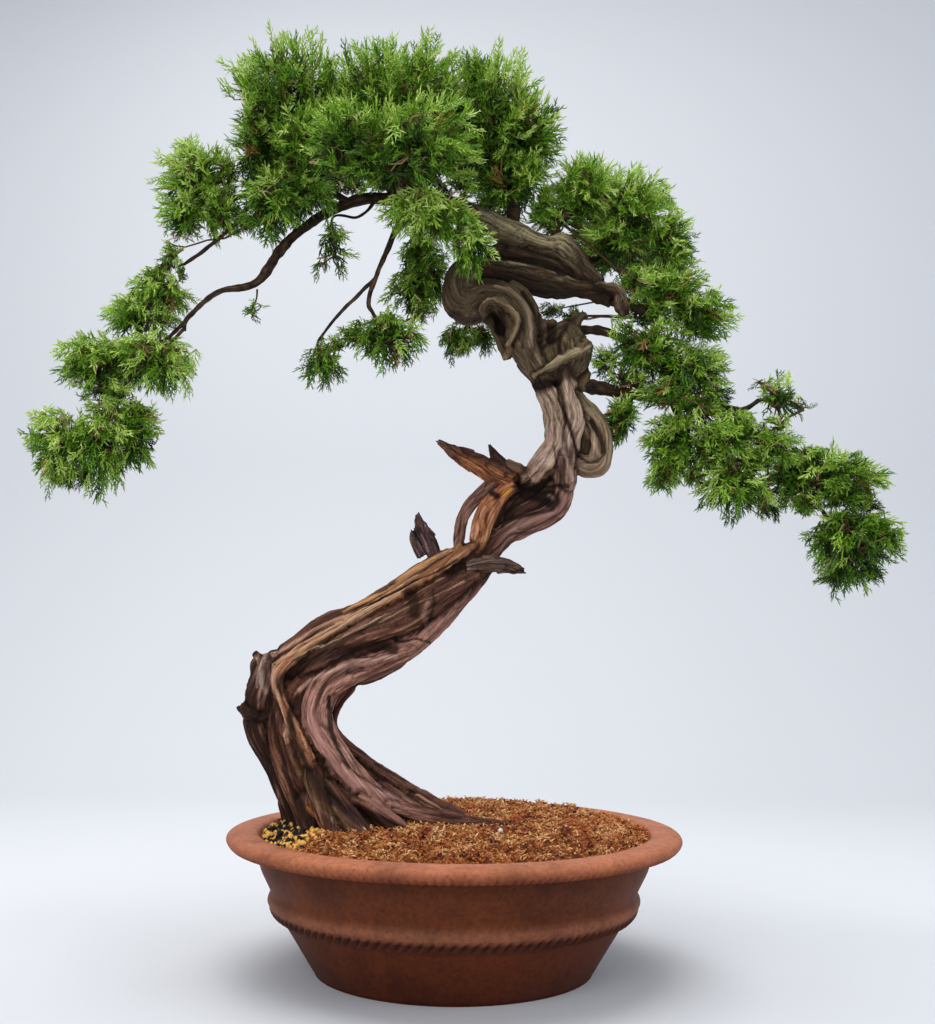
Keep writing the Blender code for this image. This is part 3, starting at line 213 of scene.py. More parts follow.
# Small lobes that fill in between the ones above, where the foliage runs on
FILLS = {
    "crown_left": [(-107, -5, 712, 7, 40, 13), (-180, -10, 709, 8, 30, 11)],
    "crown_mid": [(-91, -20, 619, 18, 30, 6), (-96, -16, 684, 22, 26, 26), (-92, -26, 650, 22, 26, 24),
        (0, -18, 686, 22, 26, 28), (6, -22, 652, 22, 26, 24)],
    "crown_right": [(8, -6, 719, 18, 34, 16)],
    "crown_front": [(2, -30, 614, 14, 30, 11)],
    "crown_low_left": [(-175, -16, 583, 10, 30, 7)],
    "cloud_left": [(-188, -14, 633, 8, 34, 13), (-224, -16, 642, 13, 20, 13)],
    "drop_upper": [(-235, -14, 506, 13, 26, 10), (-223, -16, 545, 6, 18, 10)],
    "drop_mid": [(-279, -14, 444, 27, 30, 8)],
    "drop_low": [(-265, -12, 398, 7, 26, 18), (-310, -16, 377, 17, 26, 10)],
    "spray_hang": [(-113, -8, 554, 10, 14, 8)],
    "drop_left": [(-97, -20, 487, 10, 18, 10)],
    "drop_right": [(-26, -14, 516, 10, 20, 10)],
    "hang_mid": [(-19, 20, 555, 11, 22, 27)],
    "under_bulb": [(1, 36, 496, 12, 18, 8)],
    "right_upper": [(66, 16, 613, 15, 36, 22), (143, 8, 546, 13, 30, 12)],
    "right_mid": [(93, 36, 526, 12, 16, 8), (159, 4, 517, 21, 30, 10), (125, 14, 535, 8, 20, 8),
        (75, 34, 530, 13, 18, 8)],
    "right_low": [(116, 6, 481, 10, 26, 15), (140, 6, 461, 24, 28, 8), (212, 0, 452, 16, 24, 8)],
    "right_trail": [(238, -4, 399, 18, 30, 11), (187, -2, 384, 10, 26, 10), (249, -6, 358, 11, 24, 10),
        (248, -4, 420, 21, 22, 10), (160, -8, 450, 22, 24, 13), (195, -8, 438, 24, 26, 16),
        (226, -10, 422, 20, 26, 15), (256, -12, 404, 20, 26, 16), (284, -14, 394, 18, 24, 14)],
    "spray_right": [(240, -12, 462, 10, 14, 10), (276, -12, 440, 12, 16, 12), (252, -10, 424, 14, 18, 12)],
    "end_upper": [(282, -6, 403, 14, 18, 9), (277, -8, 362, 13, 26, 10), (303, -10, 396, 16, 26, 10),
        (309, -8, 374, 20, 24, 16), (331, -8, 362, 14, 20, 14)],
    "end_droop": [(297, -8, 305, 16, 26, 11), (326, -8, 308, 13, 24, 10)],
}
# Bare twigs and little sprays outside the masses: thickness, kind of twig, the points that the twig runs
# through, and the lobe that it ends in where it carries one
LOOSE = {
    "cloud_left": [(1.1, 0, [(-182, -14, 580), (-190, -14, 575), (-204, -15, 573), (-221, -16, 567),
                             (-232, -16, 569)], None),
                   (0.8, 1, [(-221, -16, 567), (-233, -17, 560), (-239, -17, 552), (-236, -17, 543)], None),
                   (0.7, 1, [(-214, -16, 571), (-224, -18, 575), (-237, -18, 571)], None)],
    "crown_low_left": [(1.0, 0, [(-164, -8, 535), (-164, -10, 527), (-167, -12, 518)],
                        (-166, -12, 512, 13, 14, 13))],
    "crown_front_high": [(1.3, 1, [(-117, -61, 622), (-106, -63, 620), (-98, -62, 613), (-91, -58, 604)],
                          None),
                         (0.9, 1, [(-106, -63, 620), (-101, -64, 626), (-94, -64, 628)], None),
                         (0.9, 1, [(-78, -62, 640), (-70, -64, 646), (-62, -63, 647)], None),
                         (0.7, 1, [(-70, -64, 646), (-67, -65, 653)], None)],
    "crown_front": [(1.2, 1, [(-16, -54, 596), (-6, -57, 593), (2, -57, 587), (8, -54, 578)], None),
                    (0.8, 1, [(-6, -57, 593), (-3, -58, 586), (-4, -58, 578)], None),
                    (0.8, 1, [(2, -57, 587), (10, -58, 587), (17, -56, 583)], None),
                    (0.7, 1, [(-10, -56, 595), (-4, -58, 600), (4, -58, 601)], None)],
    "right_trail": [(0.8, 0, [(176, -30, 446), (188, -32, 440), (198, -32, 437), (207, -30, 438)], None),
                    (0.6, 0, [(188, -32, 440), (193, -34, 433), (192, -34, 427)], None)],
}


# Mesh tools

SKIN_SIDES = 20            # sides of the tubes under a skin


def linked(name, data):
    """A new object that holds this data, put in the scene."""
    piece = bpy.data.objects.new(name, data)
    bpy.context.scene.collection.objects.link(piece)
    return piece


def clamp(values):
    return np.clip(values, 0.0, 1.0)


def smooth_path(points, steps):
    """The path with more points between its own, on a Catmull-Rom curve."""
    rows = np.array(points, float)
    if len(rows) < 3:
        share = np.linspace(0.0, 1.0, steps + 1)[:, None]
        return rows[0] * (1.0 - share) + rows[-1] * share
    rows = np.vstack([2 * rows[0] - rows[1], rows, 2 * rows[-1] - rows[-2]])
    t = (np.arange(steps) / steps)[:, None]
    out = []
    for a, b, c, d in zip(rows, rows[1:], rows[2:], rows[3:]):
        out.append(0.5 * (2 * b + (c - a) * t + (2 * a - 5 * b + 4 * c - d) * t ** 2
                          + (3 * b - a - 3 * c + d) * t ** 3))
    out.append(rows[-2][None, :])
    return np.vstack(out)


def unit(vectors):
    return vectors / np.maximum(np.linalg.norm(vectors, axis=-1, keepdims=True), 1e-9)


def path_frames(path):
    """Tangent and two side vectors at each point, carried along without twisting."""
    tangent = unit(np.gradient(path[:, :3], axis=0))
    side = np.cross(tangent[0], [0.0, 1.0, 0.0])
    if np.linalg.norm(side) < 0.1:
        side = np.cross(tangent[0], [1.0, 0.0, 0.0])
    sides = []
    for along in tangent:
        side = side - along * np.dot(side, along)
        side = side / np.linalg.norm(side)
        sides.append(side)
    sides = np.array(sides)
    return tangent, sides, np.cross(tangent, sides)


def mesh_from_arrays(name, points, faces, materials=(), slots=None, smooth=False):
    """A mesh object from points in millimetres and three- or four-sided faces."""
    mesh = bpy.data.meshes.new(name)
    faces = np.asarray(faces, np.int32)
    sides = faces.shape[1]
    mesh.vertices.add(len(points))
    mesh.vertices.foreach_set("co", (np.asarray(points) * MM).astype(np.float32).ravel())
    mesh.loops.add(faces.size)
    mesh.loops.foreach_set("vertex_index", faces.ravel())
    mesh.polygons.add(len(faces))
    mesh.polygons.foreach_set("loop_start", np.arange(0, faces.size, sides, dtype=np.int32))
    if slots is not None:
        mesh.polygons.foreach_set("material_index", np.asarray(slots, np.int32))
    mesh.polygons.foreach_set("use_smooth", np.full(len(faces), smooth))
    mesh.update(calc_edges=True)
    for material in materials:
        mesh.materials.append(material)
    return linked(name, mesh)


def ring_quads(rings, around):
    """The four-sided faces between rings of points that follow one another."""
    here = np.arange(around)
    after = (here + 1) % around
    return np.vstack([np.stack([low + here, low + after, low + around + after, low + around + here], axis=1)
                      for low in range(0, (rings - 1) * around, around)])


def triangles_of(quads):
    return np.vstack([quads[:, [0, 1, 2]], quads[:, [0, 2, 3]]])


def tube_triangles(path, sides):
    """Points and triangles of a closed tube along rows of (x, y, z, radius)."""
    _, across, up = path_frames(path)
    angles = np.linspace(0.0, 2 * math.pi, sides, endpoint=False)
    ring = np.cos(angles)[None, :, None] * across[:, None, :] + np.sin(angles)[None, :, None] * up[:, None, :]
    points = (path[:, None, :3] + ring * path[:, None, 3:4]).reshape(-1, 3)
    row = np.arange(sides)
    after = (row + 1) % sides
    top, first = (len(path) - 1) * sides, len(points)
    caps = [np.stack([after, row, np.full(sides, first)], axis=1),
            np.stack([top + row, top + after, np.full(sides, first + 1)], axis=1)]
    return (np.vstack([points, path[[0, -1], :3]]),
            np.vstack([triangles_of(ring_quads(len(path), sides)), *caps]))


def stacked(parts):
    """Several (points, faces) joined into one pair of arrays."""
    points, faces, count = [], [], 0
    for one, its_faces in parts:
        points.append(one)
        faces.append(its_faces + count)
        count += len(one)
    return np.vstack(points), np.vstack(faces)


def three_sides(across, over, start=0.0):
    """Three headings evenly round a line, from two that are square to it and to one another."""
    turns = [2 * math.pi * k / 3 + start for k in range(3)]
    return [across * math.cos(turn) + over * math.sin(turn) for turn in turns]


def copied(pattern, count, step):
    """The faces of a pattern, repeated for each of several bodies of so many points."""
    return (np.arange(count)[:, None, None] * step + np.array(pattern)[None]).reshape(-1, 3)


def noise_at(points, seed):
    """Smooth gradient noise of about -1 to 1 at each point."""
    rng = np.random.default_rng(seed)
    order = rng.permutation(256)
    slopes = unit(rng.normal(size=(256, 3)))
    cell = np.floor(points).astype(np.int64)
    part = points - cell
    ease = part * part * part * (part * (part * 6 - 15) + 10)
    total = np.zeros(len(points))
    for dx in (0, 1):
        for dy in (0, 1):
            for dz in (0, 1):
                key = order[(cell[:, 0] + dx) & 255]
                key = order[(key + cell[:, 1] + dy) & 255]
                key = order[(key + cell[:, 2] + dz) & 255]
                reach = (slopes[key] * (part - [dx, dy, dz])).sum(axis=1)
                weight = ((ease[:, 0] if dx else 1 - ease[:, 0]) * (ease[:, 1] if dy else 1 - ease[:, 1])
                          * (ease[:, 2] if dz else 1 - ease[:, 2]))
                total += weight * reach
    return total * 1.55


def drift_at(points, shift, seed):
    """Noise with three parts, each taken this much further on."""
    return np.stack([noise_at(points + shift * k, seed) for k in range(3)], axis=1)


def skin_of(name, tubes, voxel, rounds):
    """One closed skin over crossing tubes, softened a little."""
    rough = mesh_from_arrays(name, *stacked([tube_triangles(tube, SKIN_SIDES) for tube in tubes]))
    remesh = rough.modifiers.new("skin", "REMESH")
    remesh.mode = "VOXEL"
    remesh.voxel_size = voxel * MM
    soften = rough.modifiers.new("soften", "SMOOTH")
    soften.factor = 0.5
    soften.iterations = rounds
    bpy.context.view_layer.update()
    graph = bpy.context.evaluated_depsgraph_get()
    mesh = bpy.data.meshes.new_from_object(rough.evaluated_get(graph), depsgraph=graph)
    bpy.data.objects.remove(rough, do_unlink=True)
    mesh.name = name
    mesh.polygons.foreach_set("use_smooth", np.full(len(mesh.polygons), True))
    return linked(name, mesh)


def points_of(piece):
    co = np.empty(len(piece.data.vertices) * 3, np.float32)
    piece.data.vertices.foreach_get("co", co)
    return co.reshape(-1, 3).astype(float) / MM


def normals_of(piece):
    out = np.empty(len(piece.data.vertices) * 3, np.float32)
    piece.data.vertex_normals.foreach_get("vector", out)
    return out.reshape(-1, 3).astype(float)


def set_points(piece, points):
    piece.data.vertices.foreach_set("co", (points * MM).astype(np.float32).ravel())
    piece.data.update()


# Materials

MIX_A, MIX_B, MIX_OUT = 6, 7, 2    # the colour sockets of a Mix node


def linear(colours):
    """Colours as the eye reads them, 0 to 255, turned into the values a shader takes."""
    value = clamp(np.array(colours, float) / 255.0)
    return np.where(value <= 0.04045, value / 12.92, ((value + 0.055) / 1.055) ** 2.4)


def new_material(name, roughness, shine=0.35):
    """A new material, with its node tree and shader."""
    material = bpy.data.materials.new(name)
    material.use_nodes = True
    shader = material.node_tree.nodes["Principled BSDF"]
    shader.inputs["Roughness"].default_value = roughness
    shader.inputs["Specular IOR Level"].default_value = shine
    return material, material.node_tree, shader


def node(tree, kind, **values):
    """A new shader node. A value whose name starts with in_ goes to that input, others are settings."""
    made = tree.nodes.new(kind)
    for key, value in values.items():
        if key.startswith("in_"):
            made.inputs[int(key[3:]) if key[3:].isdigit() else key[3:]].default_value = value
        else:
            setattr(made, key, value)
    return made


def plain_material(name, colour, roughness, shine=0.35):
    material, _, shader = new_material(name, roughness, shine)
    shader.inputs["Base Color"].default_value = (*linear(colour), 1.0)
    material.diffuse_color = (*linear(colour), 1.0)
    return material


def colour_ramp(tree, factor, stops):
    """The colour that a factor picks from (place, colour) stops."""
    ramp = node(tree, "ShaderNodeValToRGB")
    elements = ramp.color_ramp.elements
    while len(elements) < len(stops):
        elements.new(0.5)
    for element, (place, colour) in zip(elements, stops):
        element.position = place
        element.color = (*linear(colour), 1.0)
    tree.links.new(factor, ramp.inputs["Fac"])
    return ramp.outputs["Color"]


def noise_ramp(tree, coordinates, scale, detail, stops, roughness=0.6):
    """Noise, and the colour that it picks from (place, colour) stops."""
    texture = node(tree, "ShaderNodeTexNoise", in_Scale=scale, in_Detail=detail, in_Roughness=roughness)
    tree.links.new(coordinates, texture.inputs["Vector"])
    return texture.outputs["Fac"], colour_ramp(tree, texture.outputs["Fac"], stops)


def multiplied(tree, share, first, second):
    """The first colour, multiplied by the second as far as the share says."""
    mix = node(tree, "ShaderNodeMix", data_type="RGBA", blend_type="MULTIPLY")
    mix.inputs["Factor"].default_value = share
    tree.links.new(first, mix.inputs[MIX_A])
    tree.links.new(second, mix.inputs[MIX_B])
    return mix.outputs[MIX_OUT]


def bump(tree, shader, height, strength, distance, before=None):
    """Relief in the shading by a height, laid over the normals that come before."""
    made = node(tree, "ShaderNodeBump", in_Strength=strength, in_Distance=distance)
    tree.links.new(height, made.inputs["Height"])
    if before is not None:
        tree.links.new(before, made.inputs["Normal"])
    tree.links.new(made.outputs["Normal"], shader.inputs["Normal"])
    return made.outputs["Normal"]


def bark_material(name):
    """Old bark: the colour of each place, with its painted shade and highlights, streaked along the fibres,
    darker in the furrows.
    """
    material, tree, shader = new_material(name, 0.78, 0.2)
    colour = node(tree, "ShaderNodeAttribute", attribute_name="bark_colour")
    fibre = node(tree, "ShaderNodeAttribute", attribute_name="fibre")
    stretch = node(tree, "ShaderNodeVectorMath", operation="MULTIPLY")
    tree.links.new(fibre.outputs["Vector"], stretch.inputs[0])
    stretch.inputs[1].default_value = (1.0, 1.0, 0.035)
    streak, streak_colour = noise_ramp(tree, stretch.outputs[0], 0.55, 5.0, [
        (0.36, (112, 96, 88)), (0.47, (212, 204, 198)), (0.60, (255, 253, 250))])
    fine, fine_colour = noise_ramp(tree, stretch.outputs[0], 1.7, 4.0, [
        (0.36, (104, 92, 84)), (0.48, (220, 214, 208)), (0.60, (255, 252, 248))], 0.7)
    streaked = multiplied(tree, 0.70, colour.outputs["Color"], streak_colour)
    streaked = multiplied(tree, 0.60, streaked, fine_colour)
    tree.links.new(streaked, shader.inputs["Base Color"])
    first = bump(tree, shader, streak, 0.7, 0.0018)
    bump(tree, shader, fine, 0.7, 0.0009, first)
    return material


# Bark

FAR = 1e9                          # further than anything is
BATCH = 30000                      # places that are measured at a time
STRAND_SHIFT = (61.0, 37.0, 53.0)  # keeps the grain of one strand from running on in the next
SEAM = 1.7                         # half width of the groove between two strands


class Strands:
    """Where each place lies on the nearest of several strands."""

    def __init__(self, paths):
        self.paths = [smooth_path(path, 8) for path in paths]
        self.frames = [path_frames(path) for path in self.paths]

    def at(self, points):
        """For each point: its strand, the next nearest one, the gap between them and the fibre coordinates,
        which are two across the strand and one along it.
        """
        count = len(points)
        best = np.full(count, FAR)
        second = np.full(count, FAR)
        strand = np.zeros(count, int)
        runner = np.zeros(count, int)
        place = np.zeros(count, int)
        for number, path in enumerate(self.paths):
            away = np.full(count, FAR)
            where = np.zeros(count, int)
            for start in range(0, count, BATCH):
                part = slice(start, start + BATCH)
                apart = np.linalg.norm(points[part, None, :] - path[None, :, :3], axis=2) - path[None, :, 3]
                where[part] = apart.argmin(axis=1)
                away[part] = apart.min(axis=1)
            nearer = away < best
            runner = np.where(nearer, strand, np.where(away < second, number, runner))
            second = np.where(nearer, best, np.minimum(second, away))
            strand = np.where(nearer, number, strand)
            place = np.where(nearer, where, place)
            best = np.where(nearer, away, best)
        fibre = np.zeros((count, 3))
        for number, path in enumerate(self.paths):
            mine = strand == number
            if not mine.any():
                continue
            tangent, across, up = self.frames[number]
            index = place[mine]
            reach = points[mine] - path[index, :3]
            length = np.concatenate([[0.0], np.cumsum(np.linalg.norm(np.diff(path[:, :3], axis=0), axis=1))])
            along = length[index] + (reach * tangent[index]).sum(axis=1)
            places = [(reach * across[index]).sum(axis=1), (reach * up[index]).sum(axis=1), along]
            for axis, (value, shift) in enumerate(zip(places, STRAND_SHIFT)):
                fibre[mine, axis] = value + shift * number
        return strand, runner, second - best, fibre


def grain(fibre, wide, long, seed):
    """Noise in lumps this wide and this long, along the fibres."""
    return noise_at(fibre * [1 / wide, 1 / wide, 1 / long], seed)


def fibrous(points, fibre, strength):
    """Long ridges and cracks that run with the fibres: (height in mm, share of furrow)."""
    wander = np.stack([noise_at(points / 24.0, 3), noise_at(points / 24.0 + 9.0, 4)], axis=1) * 4.5
    wavy = fibre.copy()
    wavy[:, :2] += wander
    broad = np.abs(grain(wavy, 8.5, 150.0, 11))
    middle = np.abs(grain(wavy, 3.8, 90.0, 12))
    fine = np.abs(grain(wavy, 1.9, 45.0, 13))
    flakes = grain(wavy, 3.0, 9.0, 14)
    height = strength * (2.6 * np.sqrt(broad) + 1.5 * np.sqrt(middle) + 0.6 * fine + 0.25 * flakes - 2.4)
    furrow = (0.9 * np.exp(-(broad / 0.06) ** 2) + 0.6 * np.exp(-(middle / 0.08) ** 2)
              + 0.3 * np.exp(-(fine / 0.10) ** 2))
    return height, clamp(furrow)


def away_from_line(x, z, line):
    """How far each place is from a line of (x, z) points."""
    nearest = np.full(len(x), FAR)
    spots = np.array(line, float)
    for (ax, az), (bx, bz) in zip(spots, spots[1:]):
        long = (bx - ax) ** 2 + (bz - az) ** 2
        share = clamp(((x - ax) * (bx - ax) + (z - az) * (bz - az)) / long)
        nearest = np.minimum(nearest, np.hypot(x - ax - share * (bx - ax), z - az - share * (bz - az)))
    return nearest


def marked(points, normals, fibre, marks):
    """The depth that the marks press in, and a layer (colour, share at each place) for each."""
    front = clamp(-normals[:, 1] * 2.2 + 0.45) * (points[:, 1] < 12.0)
    ragged = grain(fibre, 2.4, 16.0, 17)
    depth = np.zeros(len(points))
    layers = []
    for half, deep, colour, share, line in marks:
        away = away_from_line(points[:, 0], points[:, 2], line) / half + 0.30 * ragged
        inside = clamp(1.25 - away)
        shape = inside * inside * (3.0 - 2.0 * inside) * front
        depth += deep * shape
        layers.append((colour, clamp(shape * 1.3) * share))
    return depth, layers


def layered(base, layers):
    """The base colours, moved towards the colour of each layer by each place's share."""
    for colour, share in layers:
        share = clamp(share)[:, None]
        base = base * (1.0 - share) + np.array(colour, float)[None, :] * share
    return base


def oval(x, z, middle, radii):
    """1 in the middle of an oval patch that is seen from the front, and less further out."""
    return np.exp(-(((x - middle[0]) / radii[0]) ** 2 + ((z - middle[1]) / radii[1]) ** 2))


def paint_bark(piece, colours, fibre, material):
    """Gives the piece its colours, 0 to 255 as the eye reads them, its fibre coordinates and bark."""
    shades = np.hstack([linear(colours), np.ones((len(colours), 1))])
    paint = piece.data.attributes.new("bark_colour", "FLOAT_COLOR", "POINT")
    paint.data.foreach_set("color", shades.astype(np.float32).ravel())
    run = piece.data.attributes.new("fibre", "FLOAT_VECTOR", "POINT")
    run.data.foreach_set("vector", fibre.astype(np.float32).ravel())
    piece.data.materials.append(bark_material(material))


# The colour of each strand, with light and shade painted in over the bark's own colours: the heel strands
# darkened as painted shade, the strands high up made paler as painted light.
STRAND_COLOURS = {
    "heel": (54, 31, 23), "knee": (150, 114, 104), "back": (134, 98, 82), "crest": (182, 132, 104),
    "cheek": (208, 158, 146), "inner": (132, 98, 90), "toe": (120, 86, 76), "between": (110, 78, 68),
    "under_run": (114, 82, 72), "belly": (138, 102, 92), "core": (114, 76, 60), "arc": (176, 144, 140),
    "panel": (222, 160, 122), "hollow_back": (100, 76, 60), "hollow_floor": (96, 72, 58),
    "jin_root": (96, 72, 58), "brow": (122, 96, 80), "left": (232, 204, 184), "middle": (234, 208, 190),
    "loop": (168, 148, 122), "loop_floor": (130, 106, 80), "spine": (146, 126, 100),
    "ridge": (124, 108, 86), "column": (140, 118, 94), "under": (106, 90, 70), "comma": (140, 120, 96),
    "shelf": (144, 134, 98), "stub": (124, 114, 84), "collar": (128, 110, 84), "lip": (116, 102, 78),
    "knee_stub": (88, 70, 62), "heel_stub": (70, 52, 44), "foot_heel": (58, 34, 25),
    "foot_left": (84, 54, 40), "foot_front": (104, 72, 56), "foot_mid": (132, 94, 82),
    "root": (146, 106, 98), "web": (92, 64, 54),
}
# Traced marks on the front of the trunk: half width, depth (out where it is less than 0), colour and
# share, then the line as (x, z). The dark marks that press in are painted shade in cracks, valleys and
# hollows, over the bark's own dark there; most pale marks that stand out are painted highlights on the
# ridges and along the crest; the olive, yellow and orange ones are lichen and flakes.
TRUNK_MARKS = [
    (4.6, 4.5, (58, 36, 26), 0.70, [(-138, 212), (-135, 222), (-129, 228), (-119, 234), (-103, 241),
        (-88, 245), (-72, 248), (-57, 249), (-49, 246)]),
    (3.1, 1.5, (72, 50, 40), 0.62, [(-123, 236), (-100, 248), (-76, 259), (-53, 270), (-41, 280)]),
    (3.1, 3.6, (52, 36, 30), 0.70, [(-125, 207), (-129, 192), (-124, 173), (-114, 155), (-101, 140),
        (-80, 127), (-58, 118), (-41, 107)]),
    (1, 1.8, (52, 34, 30), 0.75, [(-87, 161), (-75, 151), (-59, 142), (-42, 132)]),
    (1.9, 2.4, (44, 32, 28), 0.75, [(-98, 209), (-97, 189), (-91, 171), (-82, 156)]),
    (2.8, 2, (50, 28, 22), 0.7, [(-97, 142), (-82, 131), (-59, 124), (-37, 116)]),
    (3.7, 1, (46, 30, 22), 0.60, [(-119, 127), (-104, 115), (-83, 105), (-60, 99)]),
    (1.3, 2, (44, 30, 26), 0.7, [(-63, 156), (-47, 147), (-28, 141), (-8, 129)]),
    (1.9, 1.6, (40, 26, 20), 0.62, [(-146, 206), (-141, 182), (-132, 152), (-121, 129)]),
    (1.7, -1.5, (250, 206, 166), 0.85, [(-131, 174), (-133, 186), (-136, 200), (-138, 208), (-143, 221),
        (-144, 234), (-137, 239), (-123, 245), (-108, 253), (-92, 263), (-77, 271), (-57, 283),
        (-45, 290)]),
    (2.3, -1.4, (250, 190, 130), 0.92, [(-90, 277), (-77, 284), (-57, 293), (-46, 302), (-34, 310),
        (-22, 317), (-10, 324), (3, 329)]),
    (2.1, -0.8, (246, 199, 178), 0.8, [(-146, 242), (-131, 250), (-114, 261), (-96, 270), (-83, 276)]),
    (1.1, -1.0, (255, 218, 184), 0.90, [(-118, 252), (-100, 262), (-80, 272), (-58, 285), (-36, 297),
        (-16, 309)]),
    (0.8, -0.9, (255, 222, 190), 0.85, [(-126, 239), (-108, 248), (-90, 256), (-72, 265), (-56, 275)]),
    (0.9, -0.8, (240, 196, 164), 0.75, [(-60, 268), (-38, 280), (-14, 290), (6, 300)]),
    (0.7, 1.4, (60, 36, 30), 0.7, [(-144, 239), (-130, 246), (-114, 255), (-96, 266)]),
    (1.1, 1.8, (62, 40, 30), 0.75, [(-89, 274), (-69, 283), (-52, 290), (-36, 299), (-14, 308), (0, 317)]),
    (2.5, -0.8, (226, 196, 184), 0.75, [(-152, 241), (-155, 232), (-154, 221), (-149, 212)]),
    (1.3, -0.4, (239, 199, 183), 0.7, [(-158, 239), (-158, 227), (-157, 216)]),
    (1.9, -1, (231, 191, 176), 0.85, [(-122, 214), (-114, 222), (-100, 229), (-84, 234), (-67, 239),
        (-47, 241)]),
    (6.3, -1.2, (221, 168, 156), 0.6, [(-113, 210), (-110, 191), (-103, 171), (-86, 152), (-65, 139),
        (-43, 128), (-20, 118)]),
    (1.5, -0.4, (190, 160, 120), 0.40, [(-130, 171), (-126, 159), (-117, 145), (-102, 130), (-85, 119),
        (-63, 109)]),
    (1.2, 0, (104, 92, 44), 0.53, [(-123, 156), (-112, 140), (-94, 129), (-77, 120)]),
    (1.8, 0.4, (248, 156, 70), 0.95, [(-112, 126), (-105, 120), (-96, 111)]),
    (0.9, -0.3, (206, 184, 176), 0.55, [(-63, 141), (-52, 136), (-41, 130)]),
    (4.8, 4.0, (60, 38, 26), 0.70, [(-37, 291), (-34, 283), (-33, 274)]),
    (2.1, -1.6, (146, 108, 88), 0.40, [(-39, 298), (-31, 298), (-25, 291), (-23, 281), (-26, 271),
        (-35, 264)]),
    (1.2, 1.6, (58, 38, 28), 0.60, [(-19, 294), (-17, 281), (-21, 268), (-31, 258)]),
    (1, 2.2, (40, 24, 16), 0.75, [(-50, 254), (-41, 253), (-31, 255), (-20, 251)]),
    (4, 3.6, (54, 36, 28), 0.70, [(-6, 305), (3, 312), (16, 312), (27, 309)]),
    (2.4, -0.8, (199, 163, 148), 0.6, [(-22, 282), (-26, 273), (-21, 262)]),
    (2.7, -0.6, (189, 156, 138), 0.5, [(-84, 220), (-64, 224), (-45, 232), (-29, 246), (-14, 263),
        (-1, 276)]),
    (2.6, -0.6, (238, 180, 134), 0.60, [(27, 363), (27, 349), (23, 335), (13, 330)]),
    (2.4, 0, (246, 189, 156), 0.7, [(20, 359), (16, 347), (12, 335)]),
    (2.5, 3, (28, 18, 12), 0.79, [(27, 371), (32, 368)]),
    (2.3, 0, (222, 166, 52), 0.70, [(35, 370), (42, 373)]),
    (7.0, 5.0, (36, 23, 17), 0.86, [(50, 375), (62, 372), (71, 369), (75, 365)]),
    (1.6, 2.4, (40, 28, 20), 0.75, [(69, 378), (81, 377), (90, 376)]),
    (1.9, -1.5, (189, 176, 166), 0.7, [(73, 370), (75, 368)]),
    (1.9, 2.8, (48, 36, 28), 0.75, [(35, 346), (44, 352), (62, 356), (76, 358)]),
    (2.6, -1.2, (164, 132, 124), 0.55, [(36, 333), (47, 344), (69, 349), (83, 359), (92, 373), (95, 383)]),
    (1.6, 0.8, (66, 50, 44), 0.53, [(38, 327), (49, 337), (71, 342), (85, 352)]),
    (1.6, 3, (46, 34, 28), 0.79, [(78, 460), (80, 447), (85, 434), (89, 422), (94, 409), (99, 399)]),
    (1, 1, (86, 66, 60), 0.53, [(71, 449), (77, 438), (82, 427)]),
    (2.8, -0.8, (231, 209, 181), 0.7, [(84, 459), (87, 447), (96, 435), (102, 422)]),
    (2.4, -0.8, (216, 183, 171), 0.6, [(74, 422), (72, 409), (69, 398), (60, 388)]),
    (2.4, -0.8, (236, 201, 189), 0.65, [(80, 415), (85, 401), (90, 387), (92, 375)]),
    (0.9, 1.6, (84, 62, 54), 0.62, [(76, 409), (78, 396), (81, 383)]),
    (2.7, 4.6, (48, 38, 24), 0.78, [(106, 429), (111, 421), (115, 412), (116, 404)]),
    (1.1, 1.8, (58, 46, 34), 0.7, [(99, 399), (104, 396), (111, 396), (115, 401)]),
    (1.4, -0.5, (214, 189, 163), 0.6, [(103, 419), (108, 411), (112, 401)]),
    (4, 4.6, (34, 26, 16), 0.81, [(61, 457), (71, 459), (78, 460)]),
    (2.7, -1, (183, 161, 123), 0.75, [(19, 522), (25, 526), (34, 524), (41, 517), (46, 509), (43, 498),
        (39, 489), (38, 480)]),
    (4.3, 5.5, (40, 29, 20), 0.78, [(32, 514), (33, 504)]),
    (2.4, -0.9, (189, 166, 143), 0.7, [(29, 536), (41, 534), (51, 526), (56, 515), (58, 502), (57, 488)]),
    (1.5, 2.6, (44, 36, 28), 0.75, [(51, 535), (58, 525), (63, 511), (66, 496), (67, 482)]),
    (0.9, 1.4, (60, 50, 40), 0.62, [(36, 529), (45, 524), (51, 512), (52, 499), (50, 485)]),
    (4.3, 5.5, (38, 29, 19), 0.78, [(74, 506), (74, 495)]),
    (2.8, -1.2, (191, 178, 141), 0.75, [(60, 464), (71, 471), (80, 477), (92, 482), (104, 487)]),
    (3.7, 1.6, (44, 36, 30), 0.62, [(14, 542), (23, 543), (31, 545)]),
    (1, -0.5, (122, 106, 98), 0.62, [(-7, 543), (-7, 530), (-2, 517)]),
    (1, -0.5, (112, 96, 88), 0.53, [(2, 550), (1, 533), (4, 518)]),
    (2.5, 0.4, (44, 34, 28), 0.53, [(-7, 515), (4, 509), (17, 510)]),
]


KNOBBLY = ["lip", "collar", "stub", "shelf", "comma", "heel_stub", "knee_stub"]


